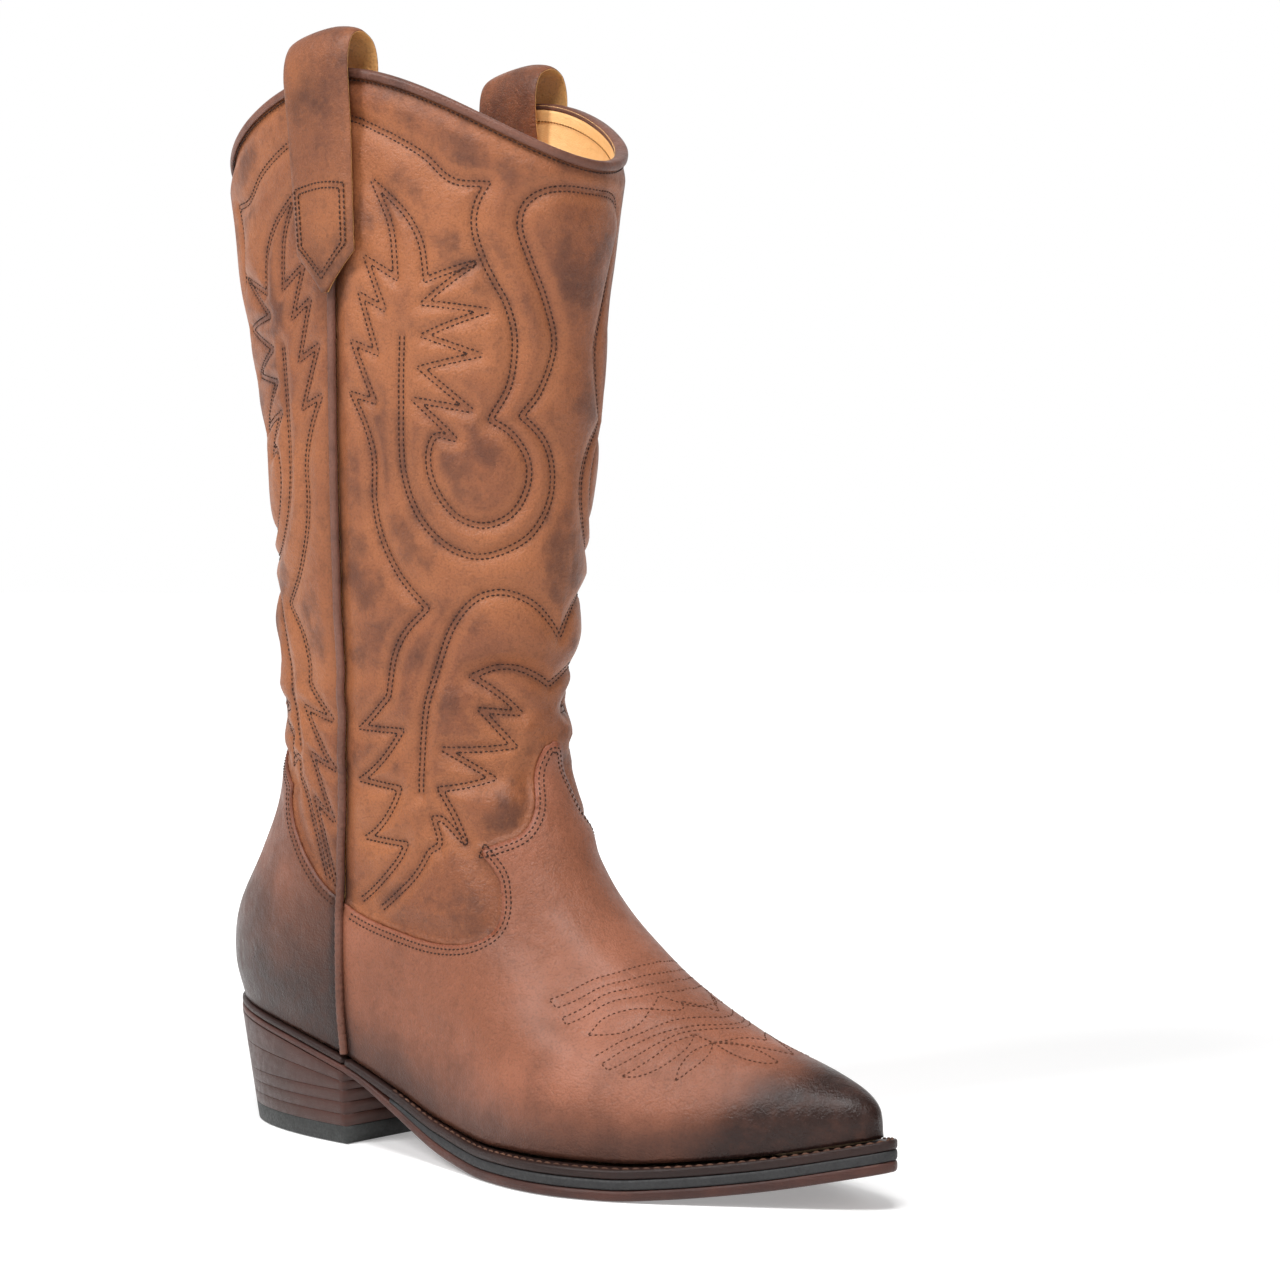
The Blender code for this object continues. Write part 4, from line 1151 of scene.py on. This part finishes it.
def lining_leather():
    f = Finish("tan_lining", Coat_Weight=0.03, Coat_Roughness=0.5)
    wide, fine = f.clouds(22, 3), f.clouds(240, 5, 0.65)
    colour = f.mix(f.share(wide, 0.35, 0.65), (0.94, 0.60, 0.27), (0.88, 0.50, 0.19))
    colour = f.mix(f.share(fine, 0.5, 0.8, 0.0, 0.3), colour, (0.60, 0.30, 0.09))
    f.set(Base_Color=colour, Roughness=f.share(fine, 0.3, 0.7, 0.5, 0.68))
    f.relief((f.clouds(300, 5), 0.0003), (f.pebbles(1800), -0.00008))
    return f.material


def waxed_thread(name, colour, dark):
    """Thread whose plies show as a fine slant."""
    f = Finish(name, Specular_IOR_Level=0.3)
    plies = f.node("TexWave", {"Vector": f.place, "Scale": 900, "Distortion": 1.5}).outputs[0]
    shade = f.mix(f.share(f.clouds(130, 4), 0.35, 0.7), colour, dark)
    f.set(Base_Color=f.mix(f.share(plies, 0.4, 1.0, 0.0, 0.5), shade, dark),
          Roughness=f.share(plies, 0.0, 1.0, 0.5, 0.7))
    f.relief((plies, 0.0001))
    return f.material


def edge_leather(name, colour, dark, light, line=0.0):
    """A leather edge or strip: fibrous, waxed, and scuffed lighter in places."""
    f = Finish(name, Coat_Weight=0.08, Coat_Roughness=0.35, Specular_IOR_Level=0.3)
    fibres = f.clouds(60, 6, 0.7, f.stretched((1, 1, 22)))
    fine, wide = f.clouds(500, 5, 0.7), f.clouds(30, 3)
    tone = f.mix(f.share(wide, 0.35, 0.65), colour, dark)
    tone = f.mix(f.share(fibres, 0.45, 0.75, 0.0, 0.6), tone, dark)
    tone = f.mix(f.share(fine, 0.58, 0.85, 0.0, 0.5), tone, light)
    f.set(Base_Color=tone, Roughness=f.share(fine, 0.3, 0.7, 0.38, 0.58))
    f.relief((fibres, 0.0003), (fine, 0.00012))
    return f.material


def heel_stack():
    """Stacked leather seen on its edges, with its lifts as faint lines."""
    f = Finish("heel_stack", Coat_Weight=0.1, Coat_Roughness=0.3, Specular_IOR_Level=0.3)
    layers = f.clouds(26, 6, 0.75, f.stretched((1, 1, 60)))
    fine, wide = f.clouds(320, 5, 0.7), f.clouds(40, 3)
    tone = f.mix(f.share(wide, 0.35, 0.65), (0.060, 0.022, 0.016), (0.045, 0.017, 0.012))
    tone = f.mix(f.share(layers, 0.42, 0.62, 0.0, 0.3), tone, (0.04, 0.016, 0.012))
    tone = f.mix(f.share(layers, 0.66, 0.8, 0.0, 0.25), tone, (0.12, 0.048, 0.035))
    tone = f.mix(f.share(fine, 0.6, 0.85, 0.0, 0.25), tone, (0.13, 0.055, 0.04))
    f.set(Base_Color=tone, Roughness=f.share(fine, 0.3, 0.7, 0.36, 0.55))
    f.relief((layers, 0.00012), (fine, 0.0001))
    return f.material


def speckled(name, colour, other, scale, rough=(0.6, 0.8), depth=0.0002, **sockets):
    """Rubber, board, foam, cork or metal: two tones in grains, with a matching relief."""
    f = Finish(name, **sockets)
    grains, fine = f.clouds(scale, 5, 0.65), f.clouds(scale * 4, 4, 0.6)
    tone = f.mix(f.share(grains, 0.35, 0.68), colour, other)
    f.set(Base_Color=f.mix(f.share(fine, 0.55, 0.8, 0.0, 0.3), tone, other),
          Roughness=f.share(fine, 0.3, 0.7, *rough))
    f.relief((grains, depth), (fine, depth / 3))
    return f.material


MID = (0.205, 0.068, 0.030)
LIGHT = (0.31, 0.108, 0.042)
DARK = (0.082, 0.029, 0.017)
BURNT = (0.022, 0.009, 0.0065)
FLESH = (0.62, 0.33, 0.12)
RAW_EDGE = (0.23, 0.066, 0.033)


def make_finishes():
    return {
        "shaft": burnished_leather("shaft_leather", MID, LIGHT, DARK, BURNT),
        "vamp": burnished_leather("vamp_leather", (0.225, 0.078, 0.040),
                                  (0.31, 0.112, 0.062), DARK, BURNT, 0.35, 0.05),
        "trim": burnished_leather("trim_leather", (0.125, 0.05, 0.032), (0.18, 0.075, 0.05),
                                  (0.06, 0.026, 0.02), (0.035, 0.018, 0.014), gloss=0.05),
        "strap": burnished_leather("strap_leather", (0.20, 0.068, 0.031), LIGHT, DARK, BURNT),
        "lining": lining_leather(),
        "thread": waxed_thread("brown_thread", (0.055, 0.02, 0.011), (0.03, 0.011, 0.007)),
        "toe_thread": waxed_thread("tan_thread", (0.13, 0.045, 0.022), (0.07, 0.024, 0.013)),
        "gold_thread": waxed_thread("gold_thread", (0.42, 0.2, 0.06), (0.26, 0.12, 0.035)),
        "welt_thread": waxed_thread("welt_thread", (0.16, 0.075, 0.045), (0.07, 0.03, 0.018)),
        "welt": edge_leather("welt_leather", (0.030, 0.011, 0.008), (0.017, 0.007, 0.0055),
                             (0.085, 0.034, 0.024)),
        "outsole": edge_leather("outsole_leather", (0.085, 0.03, 0.021), (0.045, 0.017, 0.013),
                                (0.21, 0.085, 0.05)),
        "midsole": speckled("midsole_rubber", (0.022, 0.022, 0.023), (0.015, 0.015, 0.016), 240,
                            (0.55, 0.75)),
        "rubber": speckled("lift_rubber", (0.026, 0.028, 0.027), (0.018, 0.019, 0.018), 260,
                           (0.5, 0.7)),
        "heel": heel_stack(),
        "board": speckled("stiffener_board", (0.36, 0.25, 0.15), (0.28, 0.18, 0.1), 300),
        "foam": speckled("insole_foam", (0.62, 0.55, 0.42), (0.5, 0.43, 0.32), 900),
        "cork": speckled("cork_filler", (0.33, 0.19, 0.09), (0.17, 0.09, 0.045), 380,
                         depth=0.0005),
        "steel": speckled("spring_steel", (0.5, 0.51, 0.53), (0.36, 0.37, 0.39), 500,
                          (0.28, 0.42), 0.00003, Metallic=1.0),
    }


INNER_NODES = {
    "toe_puff": "board", "heel_stiffener": "board", "insole_board": "board",
    "heel_seat_filler": "board", "insole_padding": "foam", "cork_filler": "cork",
    "steel_shank": "steel", **{f"heel_nail_{k + 1}": "steel" for k in range(5)},
}


def dress_inner_nodes(finishes):
    """The pieces inside the boot keep their CAD shape and get their real materials."""
    for node, finish in INNER_NODES.items():
        slots = NODES[node].material_slots
        for slot in slots:
            slot.material = finishes[finish]


# ---------------------------------------------------------------- camera, floor and light

CAMERA_TARGET = (74.0, 0.0)       # mm, in plan
CAMERA_TURN = 46.0                # degrees from the lateral side towards the toe
CAMERA_DISTANCE = 1030.0
CAMERA_HEIGHT = 196.0
CAMERA_PAN = 4.62                 # degrees, to the right
CAMERA_DIP = 1.08                 # degrees below level
CAMERA_LENS = 80.7


def build_camera():
    turn = math.radians(CAMERA_TURN)
    spot = (CAMERA_TARGET[0] + math.sin(turn) * CAMERA_DISTANCE,
            CAMERA_TARGET[1] - math.cos(turn) * CAMERA_DISTANCE, CAMERA_HEIGHT)
    data = bpy.data.cameras.new("camera")
    data.lens = CAMERA_LENS
    camera = bpy.data.objects.new("camera", data)
    bpy.context.scene.collection.objects.link(camera)
    camera.location = to_frame(spot)
    camera.rotation_euler = (math.radians(90 - CAMERA_DIP), 0,
                             math.radians(CAMERA_TURN - CAMERA_PAN))
    bpy.context.scene.camera = camera


def build_floor():
    finish = Finish("floor", Specular_IOR_Level=0.1, Emission_Color=(1.0, 1.0, 1.0, 1.0))
    reach = finish.node("VectorMath", {0: finish.place}, operation="LENGTH").outputs["Value"]
    finish.set(Emission_Strength=finish.share(reach, 0.3, 1.0, 0.3, 0.8))
    tone = finish.mix(finish.clouds(3, 2), (0.80, 0.80, 0.80), (0.78, 0.78, 0.78))
    finish.set(Base_Color=tone, Roughness=finish.share(finish.clouds(8, 2), 0.3, 0.7, 0.8, 0.9))
    shape = bmesh.new()
    bmesh.ops.create_grid(shape, x_segments=4, y_segments=4, size=60.0)
    mesh = bpy.data.meshes.new("floor")
    shape.to_mesh(mesh)
    shape.free()
    mesh.materials.append(finish.material)
    floor = bpy.data.objects.new("floor", mesh)
    floor.location.z = -0.0003
    bpy.context.scene.collection.objects.link(floor)


def softbox(name, place, size, watts):
    """An area light at a place given in metres about the boot, aimed at its middle."""
    data = bpy.data.lights.new(name, "AREA")
    data.shape = "RECTANGLE"
    data.size, data.size_y = size
    data.energy = watts
    lamp = bpy.data.objects.new(name, data)
    lamp.location = place
    aim = Vector((0.0, 0.0, 0.15)) - Vector(place)
    lamp.rotation_euler = aim.to_track_quat("-Z", "Y").to_euler()
    bpy.context.scene.collection.objects.link(lamp)


BACKGROUND = 1.0         # brightness of the wall behind the boot, seen from the camera
ROOM = 0.17              # brightness of the rest of the studio


def build_light():
    """A white wall behind the boot, dimmer walls elsewhere that still look white, and softboxes."""
    world = bpy.data.worlds.new("studio")
    world.use_nodes = True
    tree = world.node_tree
    background = tree.nodes["Background"]
    background.inputs["Color"].default_value = (1.0, 1.0, 1.0, 1.0)
    around = tree.nodes.new("ShaderNodeTexCoord").outputs["Generated"]
    facing = tree.nodes.new("ShaderNodeVectorMath")
    facing.operation = "DOT_PRODUCT"
    turn = math.radians(CAMERA_TURN)
    facing.inputs[1].default_value = (-math.sin(turn), math.cos(turn), 0.0)
    fade = tree.nodes.new("ShaderNodeMapRange")
    fade.interpolation_type = "SMOOTHSTEP"
    for socket, value in zip(list(fade.inputs)[1:5], (0.3, 0.85, ROOM, BACKGROUND)):
        socket.default_value = value
    tree.links.new(around, facing.inputs[0])
    tree.links.new(facing.outputs["Value"], fade.inputs[0])
    seen = tree.nodes.new("ShaderNodeLightPath").outputs["Is Camera Ray"]
    brighter = tree.nodes.new("ShaderNodeMath")
    brighter.operation = "MAXIMUM"
    tree.links.new(fade.outputs[0], brighter.inputs[0])
    tree.links.new(seen, brighter.inputs[1])
    tree.links.new(brighter.outputs[0], background.inputs["Strength"])
    bpy.context.scene.world = world
    softbox("key", (-0.4, -1.4, 1.5), (0.6, 0.6), 27)
    softbox("toe_fill", (1.6, -0.4, 1.0), (0.4, 0.8), 4)
    softbox("top", (0.6, -0.7, 1.8), (0.6, 0.6), 27)
    bpy.context.scene.view_settings.view_transform = "Standard"


# ---------------------------------------------------------------- the boot

def build_boot():
    finishes = make_finishes()
    build_upper(finishes)
    build_stitching(finishes["thread"], finishes["toe_thread"], finishes["gold_thread"])
    build_piping(finishes["trim"])
    build_binding(finishes["trim"])
    for name, side in (("pull_strap_lateral", -1), ("pull_strap_medial", 1)):
        build_strap(name, side, finishes["strap"], finishes["thread"])
    build_bottom(finishes)
    build_footbed(finishes["lining"])
    dress_inner_nodes(finishes)


def build_upper(finishes):
    lining = finishes["lining"]
    shaft_panel("shaft_front", True, both_sides(HALF_PATTERN), whole_edge(VAMP_EDGE, True),
                finishes["shaft"])
    shaft_panel("shaft_back", False, back_lines(), whole_edge(FOXING_EDGE, False),
                finishes["shaft"])
    overlay_panel("vamp", True, 6.06, VAMP_EDGE, VAMP_GRID, both_sides(TOE_ROWS), toe_burn_and_welt_shade,
                  finishes["vamp"])
    overlay_panel("heel_foxing", False, 5.74, FOXING_EDGE, GRID, [], heel_burn,
                  finishes["vamp"])
    lining_panel("shaft_lining_front", True, LINING_JOIN, TOP, lining)
    lining_panel("shaft_lining_back", False, LINING_JOIN, TOP, lining)
    lining_panel("vamp_lining", True, 0.15, LINING_JOIN, lining)
    lining_panel("heel_lining", False, 0.15, LINING_JOIN, lining)


build_camera()
build_floor()
build_light()
build_boot()
